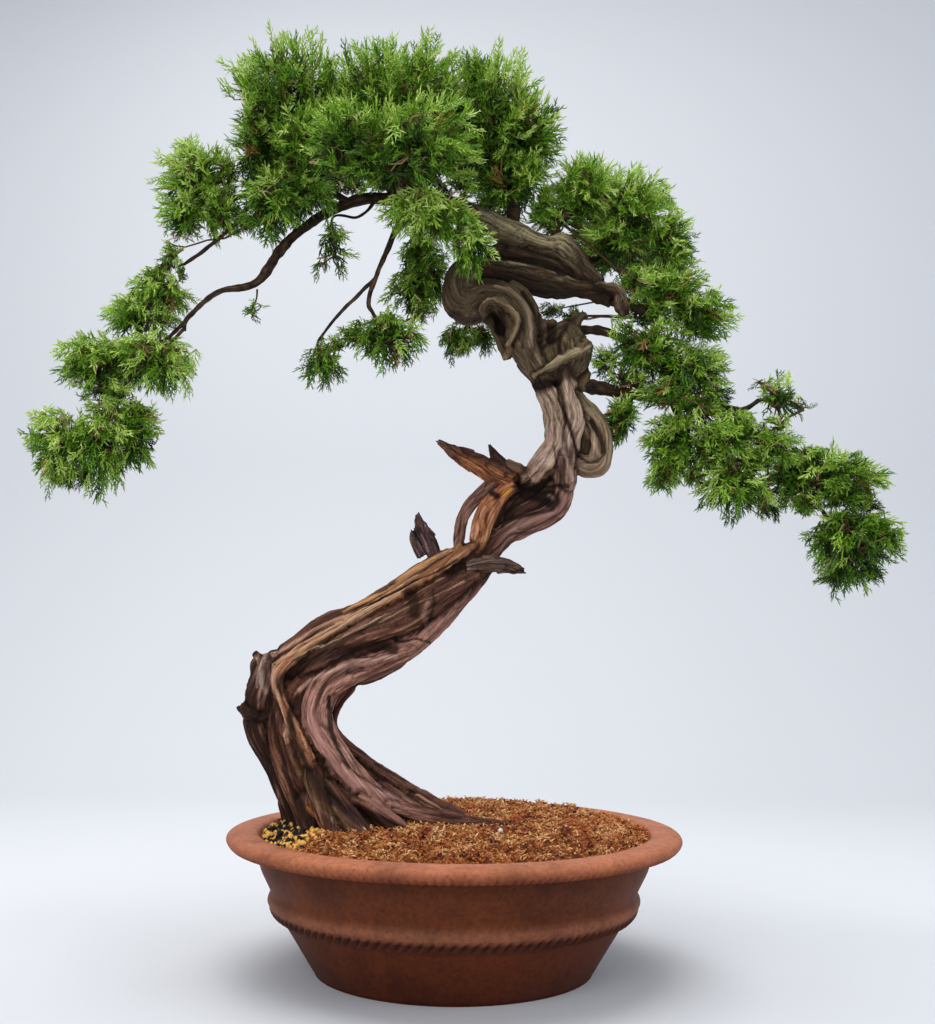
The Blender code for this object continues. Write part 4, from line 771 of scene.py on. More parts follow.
def trunk_colours(base, points, normals, names, fibre, furrow, seam, traced):
    """The colours of the trunk: those of its strands under grain, moss, painted shade, painted highlights,
    furrows and traced marks.
    """
    x, z = points[:, 0], points[:, 2]
    patch = grain(fibre, 8.0, 90.0, 21)
    slim = grain(fibre, 2.8, 70.0, 22)
    upper = clamp((z - 380.0) / 90.0)
    crest = (names == "crest") * (z > 226)
    slope = 288.0 + 0.45 * (x + 16.0)
    base = layered(base, [
        ((230, 194, 174), clamp(slim - 0.10) * 1.4),
        ((78, 48, 36), clamp(-patch - 0.1) * np.interp(z, [180, 400], [1.3, 0.6])),
        ((128, 120, 72), upper * clamp(0.25 + patch) * clamp(normals[:, 2] + 0.6)),
        ((62, 50, 34), clamp((z - 455.0) / 60.0) * 0.42),
        # The crest's own orange-tan, then painted highlights of pale fibres along its top
        ((232, 164, 112), crest * clamp(0.45 + slim * 1.2)),
        ((255, 222, 186), crest * clamp(slim * 2.6)),
        ((230, 160, 114), (names == "panel") * clamp(0.5 + patch)),
        ((70, 46, 38), oval(x, z, (20.0, 318.0), (26.0, 20.0)) * 0.45),
        ((66, 40, 28), oval(x, z, (-16.0, slope), (34.0, 14.0)) * 0.40),
        ((56, 40, 36), oval(x, z, (54.0, 354.0), (30.0, 15.0)) * 0.40),
    ])
    warm = (clamp((400.0 - z) / 40.0) * np.where(names == "cheek", 0.25, 1.0))[:, None]
    base = base * (1.0 + warm * (np.array([[1.04, 0.96, 0.88]]) - 1.0))
    # Painted highlight on the front of the knee, where it faces the light
    knee = oval(x, z, (-150.0, 226.0), (14.0, 17.0)) * clamp(0.3 - normals[:, 1])
    return layered(base, [
        ((222, 186, 172), knee * clamp(0.7 + slim)),
        # Painted shade in the furrows and in the seams between strands, over the bark's own darker cracks
        ((48, 27, 17), furrow * np.interp(z, [350.0, 400.0], [0.55, 0.34])),
        ((38, 20, 12), seam * 0.6),
        *traced,
        # More painted shade in the furrows
        ((54, 36, 28), furrow * 0.2),
        ((76, 50, 40), clamp((130.0 - z) / 25.0) * 0.5),
    ])


def dress_trunk():
    strands = Strands(TRUNK_STRANDS.values())
    piece = skin_of("trunk_bark", strands.paths, 1.25, 3)
    points, normals = points_of(piece), normals_of(piece)
    strand, runner, gap, fibre = strands.at(points)
    height, furrow = fibrous(points, fibre, 1.25)
    seam = np.exp(-(gap / SEAM) ** 2)
    press, traced = marked(points, normals, fibre, TRUNK_MARKS)
    names = np.array(list(TRUNK_STRANDS))[strand]
    knobs = np.isin(names, KNOBBLY) * (2.2 * noise_at(points / 6.5, 24) + 1.0 * noise_at(points / 2.8, 25))
    moved = points + normals * (height - 1.5 * seam - 0.5)[:, None]
    moved[:, 1] += press
    moved += normals * knobs[:, None]
    set_points(piece, moved)
    colours = np.array([STRAND_COLOURS[name] for name in TRUNK_STRANDS], float)
    near = np.clip(0.5 - gap / 5.0, 0.0, 0.5)[:, None]
    base = colours[strand] * (1.0 - near) + colours[runner] * near
    base = trunk_colours(base, points, normals, names, fibre, furrow, seam, traced)
    paint_bark(piece, base, fibre, "bark_trunk")
    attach(piece, "root")
    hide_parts("trunk")


def dress_limbs():
    """Both main limbs in one skin, knotty towards the right, with painted highlights and shade in their
    colours.
    """
    limbs = [(name, tubes) for name, kind, tubes in LIMBS if kind == "bark"]
    strands = Strands([tube for _, tubes in limbs for tube in tubes])
    piece = skin_of("limb_bark", strands.paths, 1.2, 2)
    points, normals = points_of(piece), normals_of(piece)
    strand, _, gap, fibre = strands.at(points)
    height, furrow = fibrous(points, fibre, 0.8)
    seam = np.exp(-(gap / SEAM) ** 2)
    x, up = points[:, 0], normals[:, 2]
    lumps = noise_at(points / 17.0, 31)
    knots = noise_at(points / 6.0, 35) * np.clip((x - 62.0) / 20.0, 0.25, 1.0)
    set_points(piece, points + normals * (height - 0.9 * seam + 1.2 * lumps + 1.5 * knots - 0.3)[:, None])
    lower = strand < len(limbs[0][1])
    base = np.where(lower[:, None], np.array([[70.0, 54.0, 37.0]]), np.array([[196.0, 184.0, 144.0]]))
    slim = grain(fibre, 3.0, 40.0, 33)
    patch = noise_at(points / 15.0, 34)
    end = clamp((x - 84.0) / 14.0)
    base = layered(base, [
        # Painted highlights along the upper sides of the limbs
        ((240, 234, 204), clamp(slim + 0.05) * clamp(up + 0.2) * 1.9),
        ((126, 124, 62), clamp(patch) * clamp(up + 0.3)),
        # The end of the upper limb darkened: painted shade there, with its dark knots
        ((78, 62, 44), end * ~lower * 0.8),
        # Painted highlights on the knobby end of the lower limb
        ((176, 154, 126), end * lower * clamp(slim + 0.2 + patch) * (x > 118)),
        ((110, 58, 34), clamp(patch - 0.22) * 1.2),
        # Painted shade in the furrows and seams, over the bark's own dark cracks
        ((34, 23, 15), furrow * 0.8 + seam * 0.5),
        # Painted shade on the undersides
        ((44, 32, 22), clamp(0.1 - up) * 0.6),
    ])
    paint_bark(piece, base, fibre, "bark_limbs")
    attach(piece, "root")
    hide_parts(*[name for name, _ in limbs])


# Each dead stub: torn fibres for each of its tubes, then its middle, pale and dark colours, and the
# colour of its upper side
JINS = {
    "jin_left": (12, (160, 92, 60), (228, 162, 106), (48, 26, 20), (78, 54, 48)),
    "jin_upright": (7, (116, 88, 84), (190, 172, 166), (36, 26, 24), (96, 66, 60)),
    "jin_right": (7, (116, 92, 80), (196, 172, 152), (44, 30, 24), (138, 118, 104)),
}


def splinters(path, count, rng):
    """Thin torn fibres that run along a dead stub and end past its tip."""
    path = smooth_path(path, 6)
    _, across, up = path_frames(path)
    out = []
    for _ in range(count):
        turn = rng.uniform(0, 2 * math.pi)
        first = rng.integers(0, max(1, len(path) // 3))
        last = min(len(path), first + rng.integers(8, 16))
        reach = (across[first:last] * math.cos(turn) + up[first:last] * math.sin(turn))
        spots = path[first:last, :3] + reach * path[first:last, 3:] * rng.uniform(0.80, 1.06)
        if first < 3:
            ahead = spots[0] + (spots[0] - spots[1]) * rng.uniform(0.8, 2.2)
            spots = np.vstack([ahead[None], spots])
        thick = np.linspace(0.8, rng.uniform(1.5, 2.3), len(spots))
        out.append(np.hstack([spots, thick[:, None]]))
    return out


def dress_deadwood():
    rng = np.random.default_rng(31)
    for name, kind, tubes in LIMBS:
        if kind != "deadwood":
            continue
        fibres, middle, pale, dark, top = JINS[name]
        strands = Strands(tubes)
        torn = [thread for tube in tubes for thread in splinters(tube, fibres, rng)]
        piece = skin_of(name + "_wood", strands.paths + torn, 0.65, 1)
        points, normals = points_of(piece), normals_of(piece)
        strand, _, _, fibre = strands.at(points)
        fibre = fibre * [1.6, 1.6, 1.0]
        height, furrow = fibrous(points, fibre, 0.8)
        set_points(piece, points + normals * (height - 0.2)[:, None])
        slim = grain(fibre, 2.6, 30.0, 41)
        layers = [(pale, clamp(slim * 1.8 + 0.1)),
                  (top, clamp(normals[:, 2] * 1.4 - 0.1 + slim) * 0.8)]
        if name == "jin_left":
            layers += [((132, 98, 84), clamp((6.0 - points[:, 0]) / 16.0) * 0.8),
                       ((66, 48, 40), (strand == 1) * 0.8)]
        # Dark in the furrows, painted shade over the wood's own dark cracks, and in dark blotches
        layers.append((dark, furrow * 0.9 + clamp(noise_at(points / 7.0, 42) - 0.25) * 1.4))
        base = np.tile(np.array(middle, float), (len(points), 1))
        paint_bark(piece, layered(base, layers), fibre, "wood_" + name)
        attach(piece, "root")
        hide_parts(name)


BOUGH_STEP = 2.2    # length of a bough between two rings of its points


def dress_boughs():
    """Every bough as one rough tapering tube, with the fibre running along it."""
    parts, fibres = [], []
    for number, (name, rows) in enumerate(BOUGHS):
        thick = rows[0][3]
        rough = smooth_path(rows, 2)
        length = np.linalg.norm(np.diff(rough[:, :3], axis=0), axis=1).sum()
        path = smooth_path(rows, max(2, round(length / BOUGH_STEP / (len(rows) - 1))))
        slim = np.interp(thick, [2.0, 6.0], [0.72, 0.88])
        path[:, 3] *= slim * (1.0 + 0.20 * noise_at(path[:, :3] / 5.5 + number, 51))
        path[:, :3] += 0.8 * drift_at(path[:, :3] / 14.0 + number, 7.0, 52)
        sides = 14 if thick > 3.0 else 9
        points, faces = tube_triangles(path, sides)
        along = np.repeat(np.arange(len(path)) * BOUGH_STEP, sides)
        turn = np.tile(np.arange(sides) * 2 * math.pi / sides, len(path))
        radius = np.repeat(path[:, 3], sides)
        fibre = np.stack([np.cos(turn) * radius, np.sin(turn) * radius, along], axis=1) + 43.0 * number
        fibre = np.vstack([fibre, fibre[:1], fibre[-1:]])
        ridge = grain(fibre, 1.6, 14.0, 53) * 0.10 * np.append(radius, [0, 0])
        middle = np.vstack([np.repeat(path[:, :3], sides, axis=0), path[[0, -1], :3]])
        parts.append((points + unit(points - middle + 1e-6) * ridge[:, None], faces))
        fibres.append(fibre)
    points, faces = stacked(parts)
    fibre = np.vstack(fibres)
    piece = mesh_from_arrays("bough_bark", points, faces, smooth=True)
    base = layered(np.tile(np.array([68.0, 52.0, 38.0]), (len(points), 1)), [
        ((146, 118, 86), clamp(grain(fibre, 2.4, 12.0, 54))),
        ((34, 25, 18), clamp(-1.5 * noise_at(points / 5.0, 55))),
    ])
    paint_bark(piece, base, fibre, "bark_boughs")
    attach(piece, "root")
    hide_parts(*[name for name, _ in BOUGHS])


# Pot and soil

# The pot's outside from the middle of its foot to the rim and on to the inside, as (radius, height)
POT_PROFILE = [
    [(0, 0), (60, 0), (104, 0.0), (107, 0.5), (109.5, 3.0), (112.2, 7.2), (121.9, 23.0), (131.4, 38.4),
     (133.8, 42.0)],
    [(133.8, 42.0), (136.6, 42.6), (139.2, 44.2), (141.0, 46.4), (142.2, 48.8), (143.0, 51.0)],
    [(143.0, 51.0), (144.0, 53.0), (144.6, 55.0), (144.2, 57.4), (143.0, 59.8), (142.5, 62.0),
     (144.0, 66.0), (146.2, 70.4), (150.4, 79.0), (152.8, 88.0), (153.8, 93.2)],
    [(153.8, 93.2), (158.0, 93.6), (164.0, 93.9), (169.4, 94.8), (173.4, 96.6), (176.2, 99.4), (177.0, 102.0),
     (176.0, 104.2), (173.4, 105.7), (168.0, 106.6), (160.0, 106.8), (155.6, 106.5), (153.2, 105.6),
     (151.8, 103.8), (149.6, 99.0), (145.5, 90.0)],
]
POT_TOP = 106.8
ROPE_TEETH = 116
STEPS_PER_TOOTH = 7
ROPE_HEIGHT = 46.6
ROPE_HALF = 4.4
RIM_SCALLOPS = 184
SCALLOP_HEIGHT = 96.4


def pot_profile():
    """Radii and heights of the profile, each a column: finer than the list, and without the middle."""
    profile = np.vstack([smooth_path(part, 3)[:-1] for part in POT_PROFILE])
    profile[:, 1] = np.clip(profile[:, 1], 0.0, POT_TOP)
    keep = np.concatenate([[True], np.linalg.norm(np.diff(profile, axis=0), axis=1) > 0.02])
    profile = profile[keep][1:]
    return profile[:, :1], profile[:, 1:]


def turned_pot():
    """The turned pot with the rope round it and the fine scallops under its rim."""
    radius, height = pot_profile()
    around = STEPS_PER_TOOTH * ROPE_TEETH
    angle = np.arange(around) * 2 * math.pi / around
    rope = np.sqrt(clamp(1.0 - ((height - ROPE_HEIGHT) / ROPE_HALF) ** 2))
    turn = angle[None, :] * ROPE_TEETH / 2 - (height - ROPE_HEIGHT) * 0.32
    tooth = np.abs(np.sin(turn)) ** 0.8
    under = np.exp(-((height - SCALLOP_HEIGHT) / 2.2) ** 2) * clamp((radius - 158.0) / 8.0)
    scallop = np.abs(np.sin(angle[None, :] * RIM_SCALLOPS / 2)) ** 0.7
    out = radius + rope * (tooth * 4.0 - 3.2) - under * (1.0 - scallop) * 1.6
    z = height + under * (1.7 - scallop * 2.2)
    points = np.stack([out * np.cos(angle), out * np.sin(angle), z], axis=2).reshape(-1, 3)
    drift = noise_at(points / 38.0, 61) * 0.45 + noise_at(points / 9.0, 62) * 0.10
    outward = unit(points * [1.0, 1.0, 0.0] + 1e-9)
    points = points + outward * (drift * clamp(points[:, 2] / 10.0))[:, None]
    points[:, 2] = np.clip(points[:, 2], 0.0, POT_TOP)
    piece = mesh_from_arrays("pot_clay", np.vstack([points, np.zeros((1, 3))]),
                             ring_quads(len(radius), around), smooth=True)

    # The foot is closed by triangles round the middle, which is the last point
    shape = bmesh.new()
    shape.from_mesh(piece.data)
    shape.verts.ensure_lookup_table()
    middle = shape.verts[len(points)]
    for k in range(around):
        face = shape.faces.new((shape.verts[(k + 1) % around], shape.verts[k], middle))
        face.smooth = True
    shape.to_mesh(piece.data)
    shape.free()
    return piece


def clay_material():
    """Fired clay: darker and paler bands by height, with a painted sheen on the shoulder and painted shade on
    the rope under it, clouds, grain and dark specks.
    """
    material, tree, shader = new_material("terracotta_clay", 0.62, 0.16)
    place = node(tree, "ShaderNodeTexCoord").outputs["Object"]
    split = node(tree, "ShaderNodeSeparateXYZ")
    tree.links.new(place, split.inputs[0])
    level = node(tree, "ShaderNodeMapRange", in_1=0.0, in_2=0.107, in_3=0.0, in_4=1.0)
    tree.links.new(split.outputs["Z"], level.inputs[0])
    # Painted sheen on the shoulder (0.49 to 0.53) and painted shade on the rope below it (0.45)
    bands = colour_ramp(tree, level.outputs[0], [
        (0.0, (90, 40, 16)), (0.36, (100, 46, 19)), (0.45, (74, 34, 16)), (0.49, (150, 92, 66)),
        (0.53, (146, 92, 66)), (0.575, (112, 58, 30)), (0.86, (96, 46, 19)), (0.905, (150, 80, 46)),
        (1.0, (202, 130, 96)),
    ])
    cloud, cloud_colour = noise_ramp(tree, place, 22.0, 6.0, [
        (0.30, (186, 176, 172)), (0.52, (240, 236, 232)), (0.72, (255, 250, 244))])
    sand, sand_colour = noise_ramp(tree, place, 260.0, 3.0, [
        (0.34, (205, 196, 192)), (0.60, (255, 253, 250))])
    _, speck_colour = noise_ramp(tree, place, 330.0, 1.0, [
        (0.0, (255, 255, 255)), (0.67, (255, 255, 255)), (0.72, (110, 96, 104))])
    colour = bands
    for share, over in ((0.9, cloud_colour), (0.7, sand_colour), (0.35, speck_colour)):
        colour = multiplied(tree, share, colour, over)
    tree.links.new(colour, shader.inputs["Base Color"])
    first = bump(tree, shader, cloud, 0.25, 0.0012)
    bump(tree, shader, sand, 0.22, 0.0004, first)
    return material


def dress_pot():
    piece = turned_pot()
    piece.data.materials.append(clay_material())
    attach(piece, "root")
    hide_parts("pot")


SOIL_RADIUS = 151.0
MOSS_FIBRES = 31500
# From the hollows between the lumps to their tops, darker as painted shade and paler as painted light,
# and one yellow kind
MOSS_COLOURS = [(70, 32, 20), (118, 56, 34), (162, 86, 52), (190, 118, 70), (214, 150, 96), (230, 184, 130),
                (188, 140, 56)]
YELLOW_MOSS = 6
YELLOW_SHARE = 0.07
GRAINS = 760           # yellow grit, black charcoal and brown crumbs in the hollow
CRUMBS = 230           # dark crumbs all over the moss
SOIL_TWIGS = 46
# The kinds of grain: colour, share, least and greatest size
GRAIN_KINDS = [((236, 184, 92), 0.60, (1.4, 2.8)), ((24, 24, 28), 0.17, (1.6, 3.8)),
               ((120, 76, 44), 0.23, (1.0, 2.6))]
BEAD, CRUMB = 3, 4     # the two kinds of grain that come after those
# Radii and heights of the mound
MOUND = ([0.0, 48.0, 92.0, 126.0, 144.0, 151.0], [117.2, 117.0, 115.6, 112.6, 108.0, 104.0])


def pocket_share(x, y):
    """How much a place belongs to the grainy hollow at the left of the trunk, 0 to 1."""
    return clamp(1.35 - np.hypot((x + 133.0) / 34.0, (y + 34.0) / 66.0))


def clumps(x, y):
    """The lumps of the moss: below 0 in the hollows between them, over 0 on their tops."""
    places = np.stack([x, y, 0.0 * x], axis=1)
    return noise_at(places / 8.5, 72) + 0.45 * noise_at(places / 4.0, 73)


def soil_height(x, y):
    """The top of the moss: a low mound, lower in the grainy hollow and lumpy all over."""
    radius = np.hypot(x, y)
    rough = noise_at(np.stack([x, y, 0.0 * x], axis=1) / 26.0, 71) * 1.2 + clumps(x, y) * 3.8
    return (np.interp(radius, *MOUND) - 5.0 * pocket_share(x, y)
            + (rough - 1.2) * np.clip((153.0 - radius) / 10.0, 0.2, 1.0))


def soil_at(x, y):
    """The top of the moss at one place."""
    return float(soil_height(np.array([x]), np.array([y]))[0])


def dress_ground():
    """The mound under the moss: rings of points round the middle, which is the last point."""
    rings, around = 140, 420
    radius = np.linspace(0.0, SOIL_RADIUS + 0.4, rings + 1)[1:]
    angle = np.arange(around) * 2 * math.pi / around
    x = (radius[:, None] * np.cos(angle)).ravel()
    y = (radius[:, None] * np.sin(angle)).ravel()
    points = np.vstack([np.stack([x, y, soil_height(x, y)], axis=1), [[0.0, 0.0, soil_at(0.0, 0.0)]]])
    ring = np.arange(around)
    middle = np.stack([ring, (ring + 1) % around, np.full(around, len(x))], axis=1)
    quads = ring_quads(rings, around)[:, [0, 3, 2, 1]]
    ground = mesh_from_arrays("soil_ground", points, np.vstack([triangles_of(quads), middle]), smooth=True)
    material, tree, shader = new_material("soil_ground", 0.95, 0.1)
    clump, colour = noise_ramp(tree, node(tree, "ShaderNodeTexCoord").outputs["Object"], 190.0, 6.0, [
        (0.28, (46, 26, 18)), (0.46, (104, 58, 34)), (0.60, (150, 96, 54)), (0.74, (200, 150, 92))])
    tree.links.new(colour, shader.inputs["Base Color"])
    bump(tree, shader, clump, 0.8, 0.002)
    ground.data.materials.append(material)
    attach(ground, "root")
    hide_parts("soil")


def dress_moss(rng):
    """Short bent fibres of a few plain colours that lie over the lumps."""
    turn = rng.uniform(0, 2 * math.pi, MOSS_FIBRES)
    far = SOIL_RADIUS * np.sqrt(rng.uniform(0, 1, MOSS_FIBRES))
    x, y = far * np.cos(turn), far * np.sin(turn)
    bare = pocket_share(x, y) * np.clip((4.0 - y) / 24.0, 0.25, 1.0)
    stays = rng.uniform(0, 1, MOSS_FIBRES) > 0.95 * bare
    x, y = x[stays], y[stays]
    count = len(x)
    base = np.stack([x, y, soil_height(x, y) - 0.5], axis=1)
    heading = rng.uniform(0, 2 * math.pi, count)
    rise = rng.uniform(-0.25, 0.85, count)
    length = rng.uniform(1.9, 5.6, count)
    along = np.stack([np.cos(heading) * np.cos(rise), np.sin(heading) * np.cos(rise), np.sin(rise)], axis=1)
    across = unit(np.cross(along, [0.0, 0.0, 1.0]))
    over = np.cross(along, across)
    wide = rng.uniform(0.45, 0.90, count)
    curl = rng.uniform(-0.12, 0.30, count) * length
    belly = base + along * (0.5 * length)[:, None] - over * curl[:, None]
    points = np.stack([base, *(belly + reach * wide[:, None] for reach in three_sides(across, over)),
                       base + along * length[:, None]], axis=1)
    pattern = [(0, 2, 1), (1, 2, 4), (0, 3, 2), (2, 3, 4), (0, 1, 3), (3, 1, 4)]
    # The colour goes with the lumps: painted shade in the hollows, painted light on the tops
    level = 2.9 + 3.6 * clumps(x, y) + 1.7 * noise_at(base / 20.0, 74) + rng.normal(0, 0.7, count)
    pick = np.clip(level, 0, 5).astype(int)
    pick[rng.uniform(0, 1, count) < YELLOW_SHARE] = YELLOW_MOSS
    materials = [plain_material(f"moss_{k}", colour, 0.9, 0.15) for k, colour in enumerate(MOSS_COLOURS)]
    moss = mesh_from_arrays("soil_moss", points.reshape(-1, 3), copied(pattern, count, 5), materials,
                            np.repeat(pick, len(pattern)))
    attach(moss, "root")
    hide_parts("soil")


def dress_grains(rng):
    """Yellow grit, black charcoal and brown crumbs, mostly in the hollow, and one pale bead."""
    shape = bmesh.new()
    bmesh.ops.create_icosphere(shape, subdivisions=1, radius=1.0)
    ball = np.array([v.co[:] for v in shape.verts])
    ball_faces = np.array([[v.index for v in f.verts] for f in shape.faces])
    shape.free()
    parts, kinds = [], []
    while len(parts) < GRAINS:
        x, y = rng.uniform(-152, -88), rng.uniform(-112, 30)
        if math.hypot(x, y) > 148.5 or rng.uniform() > pocket_share(x, y) * 1.6:
            continue
        kind = rng.choice(len(GRAIN_KINDS), p=[share for _, share, _ in GRAIN_KINDS])
        size = rng.uniform(*GRAIN_KINDS[kind][2])
        lumps = ball * (1.0 + rng.uniform(-0.22, 0.22, (len(ball), 1))) * rng.uniform(0.65, 1.15, 3) * size
        parts.append((lumps + [x, y, soil_at(x, y) + size * 0.3], ball_faces))
        kinds.append(kind)
    for _ in range(CRUMBS):
        turn, far = rng.uniform(0, 2 * math.pi), 146.0 * math.sqrt(rng.uniform())
        x, y = far * math.cos(turn), far * math.sin(turn)
        size = rng.uniform(0.8, 2.0)
        lumps = ball * (1.0 + rng.uniform(-0.25, 0.25, (len(ball), 1))) * rng.uniform(0.5, 1.3, 3) * size
        parts.append((lumps + [x, y, soil_at(x, y) + 0.4], ball_faces))
        kinds.append(CRUMB)
    parts.append((ball * 2.3 + [34.0, -70.0, soil_at(34.0, -70.0) + 2.4], ball_faces))
    kinds.append(BEAD)
    materials = [plain_material(f"grain_{k}", kind[0], 0.85, 0.25) for k, kind in enumerate(GRAIN_KINDS)]
    materials.append(plain_material("grain_bead", (232, 228, 220), 0.5))
    materials.append(plain_material("grain_crumb", (50, 34, 26), 0.85, 0.2))
    grains = mesh_from_arrays("soil_grains", *stacked(parts), materials, np.repeat(kinds, len(ball_faces)))
    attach(grains, "root")
    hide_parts("soil")


def dress_soil_twigs(rng):
    """A few dead twigs that lie on the moss."""
    parts = []
    for _ in range(SOIL_TWIGS):
        turn, far = rng.uniform(0, 2 * math.pi), rng.uniform(30, 140)
        x, y = far * math.cos(turn), far * math.sin(turn)
        heading = rng.uniform(0, 2 * math.pi)
        step = np.array([math.cos(heading), math.sin(heading)]) * rng.uniform(3.0, 6.5)
        spots = np.array([[x, y]]) + np.arange(4)[:, None] * step + rng.normal(0, 0.8, (4, 2))
        if np.hypot(spots[:, 0], spots[:, 1]).max() > 148.0:
            continue
        z = soil_height(spots[:, 0], spots[:, 1]) + 1.0
        parts.append(tube_triangles(np.column_stack([spots, z, np.linspace(0.75, 0.35, 4)]), 5))
    brown = plain_material("dead_twig", (70, 46, 34), 0.85, 0.2)
    twigs = mesh_from_arrays("soil_twigs", *stacked(parts), [brown])
    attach(twigs, "root")
    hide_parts("soil")


def dress_soil():
    rng = np.random.default_rng(5)
    dress_ground()
    dress_moss(rng)
    dress_grains(rng)
    dress_soil_twigs(rng)


# Foliage

LOBE_SIZE = 30.0           # mean radius of the lobe that the next three are given for
SPRAYS_PER_LOBE = 110      # sprays on a dense lobe
SPRAYS_OPEN = 46           # the same on an open one
BRANCHES_PER_LOBE = 7.0    # twigs that leave the middle of either
SHOOT_HALF = 0.031         # half the width of a shoot, against a spray's length
SPIKE_SHARE = 0.17         # sprays that stand out of the crown's skin
DRY_SHARE = 0.035          # sprays that are dying inside the crown
TEMPLATES = 12             # different sprays
TWIG_FACES = 12            # faces of a twig
# From deep inside the crown to the tips in the light
GREENS = [(20, 37, 9), (36, 62, 11), (62, 98, 15), (93, 136, 27), (132, 170, 50), (172, 200, 88),
          (208, 224, 142)]
DRY = (164, 128, 66)
TWIG_COLOURS = [(92, 66, 48), (186, 144, 116), (140, 126, 66)]
# How much lighter or darker the sprays of a mass are than the rest: light and shade painted by mass
TONES = {"cloud_left": 0.20, "crown_left": 0.04, "crown_mid": 0.03, "crown_right": 0.03,
         "crown_low_left": 0.06, "crown_front": 0.20, "crown_front_high": 0.02, "right_upper": 0.16,
         "right_mid": 0.14, "right_trail": 0.12, "drop_mid": 0.24, "drop_low": 0.16, "drop_upper": 0.20,
         "end_upper": 0.06, "end_droop": -0.06}
FOLIAGE_PIECES = [
    ("foliage_crown_left", ["crown_left", "crown_low_left", "cloud_left"]),
    ("foliage_crown_mid", ["crown_mid"]),
    ("foliage_crown_front", ["crown_front_high", "crown_front"]),
    ("foliage_crown_right", ["crown_right"]),
    ("foliage_crown_back", ["crown_back"]),
    ("foliage_drops", ["drop_upper", "drop_mid", "drop_low", "spray_hang", "drop_left", "drop_right",
                       "hang_mid", "under_bulb"]),
    ("foliage_right", ["right_upper", "right_mid", "right_back"]),
    ("foliage_right_low", ["right_low", "right_under"]),
    ("foliage_right_end", ["right_trail", "spray_right", "end_upper", "end_droop"]),
]
# Every lobe with the number of its mass
ALL_LOBES = [(number, lobe) for number, row in enumerate(MASSES)
             for lobe in row[4] + FILLS.get(row[0], []) + [twig[3] for twig in LOOSE.get(row[0], [])] if lobe]


def depths(points, lobes):
    """How far out in each lobe each point is: 0 at its middle and 1 at its skin."""
    lobes = np.array(lobes, float)
    reach = (points[:, None, :] - lobes[None, :, :3]) / lobes[None, :, 3:]
    return np.linalg.norm(reach, axis=2)


def in_own_space(points, number):
    """Each mass keeps to the space that is deepest in one of its own lobes."""
    mine = depths(points, [lobe for owner, lobe in ALL_LOBES if owner == number]).min(axis=1)
    others = depths(points, [lobe for owner, lobe in ALL_LOBES if owner != number]).min(axis=1)
    return mine <= others + 0.04


def headings(rng, count):
    """Headings spread evenly over all directions."""
    z = rng.uniform(-1.0, 1.0, count)
    turn = rng.uniform(-math.pi, math.pi, count)
    flat = np.sqrt(1.0 - z * z)
    return np.stack([flat * np.cos(turn), flat * np.sin(turn), z], axis=1)


def spaced(points, least, wanted):
    """The first points that keep at least this far from those before them."""
    chosen = []
    for k, point in enumerate(points):
        if len(chosen) == wanted:
            break
        if chosen and np.linalg.norm(points[chosen] - point, axis=1).min() < least:
            continue
        chosen.append(k)
    return np.array(chosen, int)


def spray_template(rng):
    """One spray, 1 long: slim shoots fan forwards from an axis, each with shorter ones of its own."""
    parts, tips = [], []

    def shoot(root, heading, length, wide, tip):
        """A slim pointed body of four faces, leant a little; hands back its heading."""
        heading = heading / np.linalg.norm(heading)
        side = np.cross(heading, [0.0, 0.1, 1.0])
        side = side / np.linalg.norm(side)
        over = np.cross(heading, side)
        bend = (side * rng.normal(0, 0.05) + over * rng.normal(0, 0.05)) * length
        points = [root + heading * length * 0.10 + reach * wide for reach in three_sides(side, over, 0.5)]
        points.append(root + bend + heading * length)
        faces = [(0, 2, 1), (0, 1, 3), (1, 2, 3), (2, 0, 3)]
        parts.append((np.array(points), np.array(faces)))
        tips.append(np.full(len(faces), tip))
        return heading

    def turned(heading, angle, roll):
        """The heading leant over by an angle, towards a side given by the roll."""
        side = np.cross([0.0, 0.1, 1.0], heading)
        side = side / np.linalg.norm(side)
        over = np.cross(heading, side)
        return heading * math.cos(angle) + (side * math.cos(roll) + over * math.sin(roll)) * math.sin(angle)

    ahead = np.array([1.0, 0.0, 0.0])
    shoot(np.zeros(3), ahead, 0.62, SHOOT_HALF * 1.05, 0)
    shoot(np.array([0.50, 0.0, 0.0]), turned(ahead, rng.normal(0, 0.12), 0.0), 0.50, SHOOT_HALF, 1)
    places = np.linspace(0.05, 0.80, 10) + rng.uniform(-0.03, 0.03, 10)
    for number, place in enumerate(places):
        roll = (0.0 if number % 2 else math.pi) + rng.normal(0.0, 0.65)
        length = (0.47 - 0.22 * place) * rng.uniform(0.8, 1.2)
        root = ahead * place
        leant = turned(ahead, rng.uniform(0.46, 0.80), roll)
        heading = shoot(root, leant, length, SHOOT_HALF, number % 2)
        for fork, turn in ((0.30, 0.0), (0.55, math.pi)):
            if rng.uniform() < 0.18:
                continue
            own = turned(heading, rng.uniform(0.36, 0.62), roll + turn + rng.normal(0, 0.5))
            tip = 2 if rng.uniform() < 0.4 else 1
            start = root + heading * length * fork
            shoot(start, own, length * rng.uniform(0.50, 0.75), SHOOT_HALF * 0.9, tip)
    points, faces = stacked(parts)
    points[:, 2] += points[:, 0] ** 2 * rng.uniform(-0.16, 0.10)
    return points, faces, np.concatenate(tips)


def turned_frames(heading, face_to):
    """Rotation matrices whose first axis is the heading."""
    across = unit(np.cross(face_to, heading))
    return np.stack([heading, across, np.cross(heading, across)], axis=2)


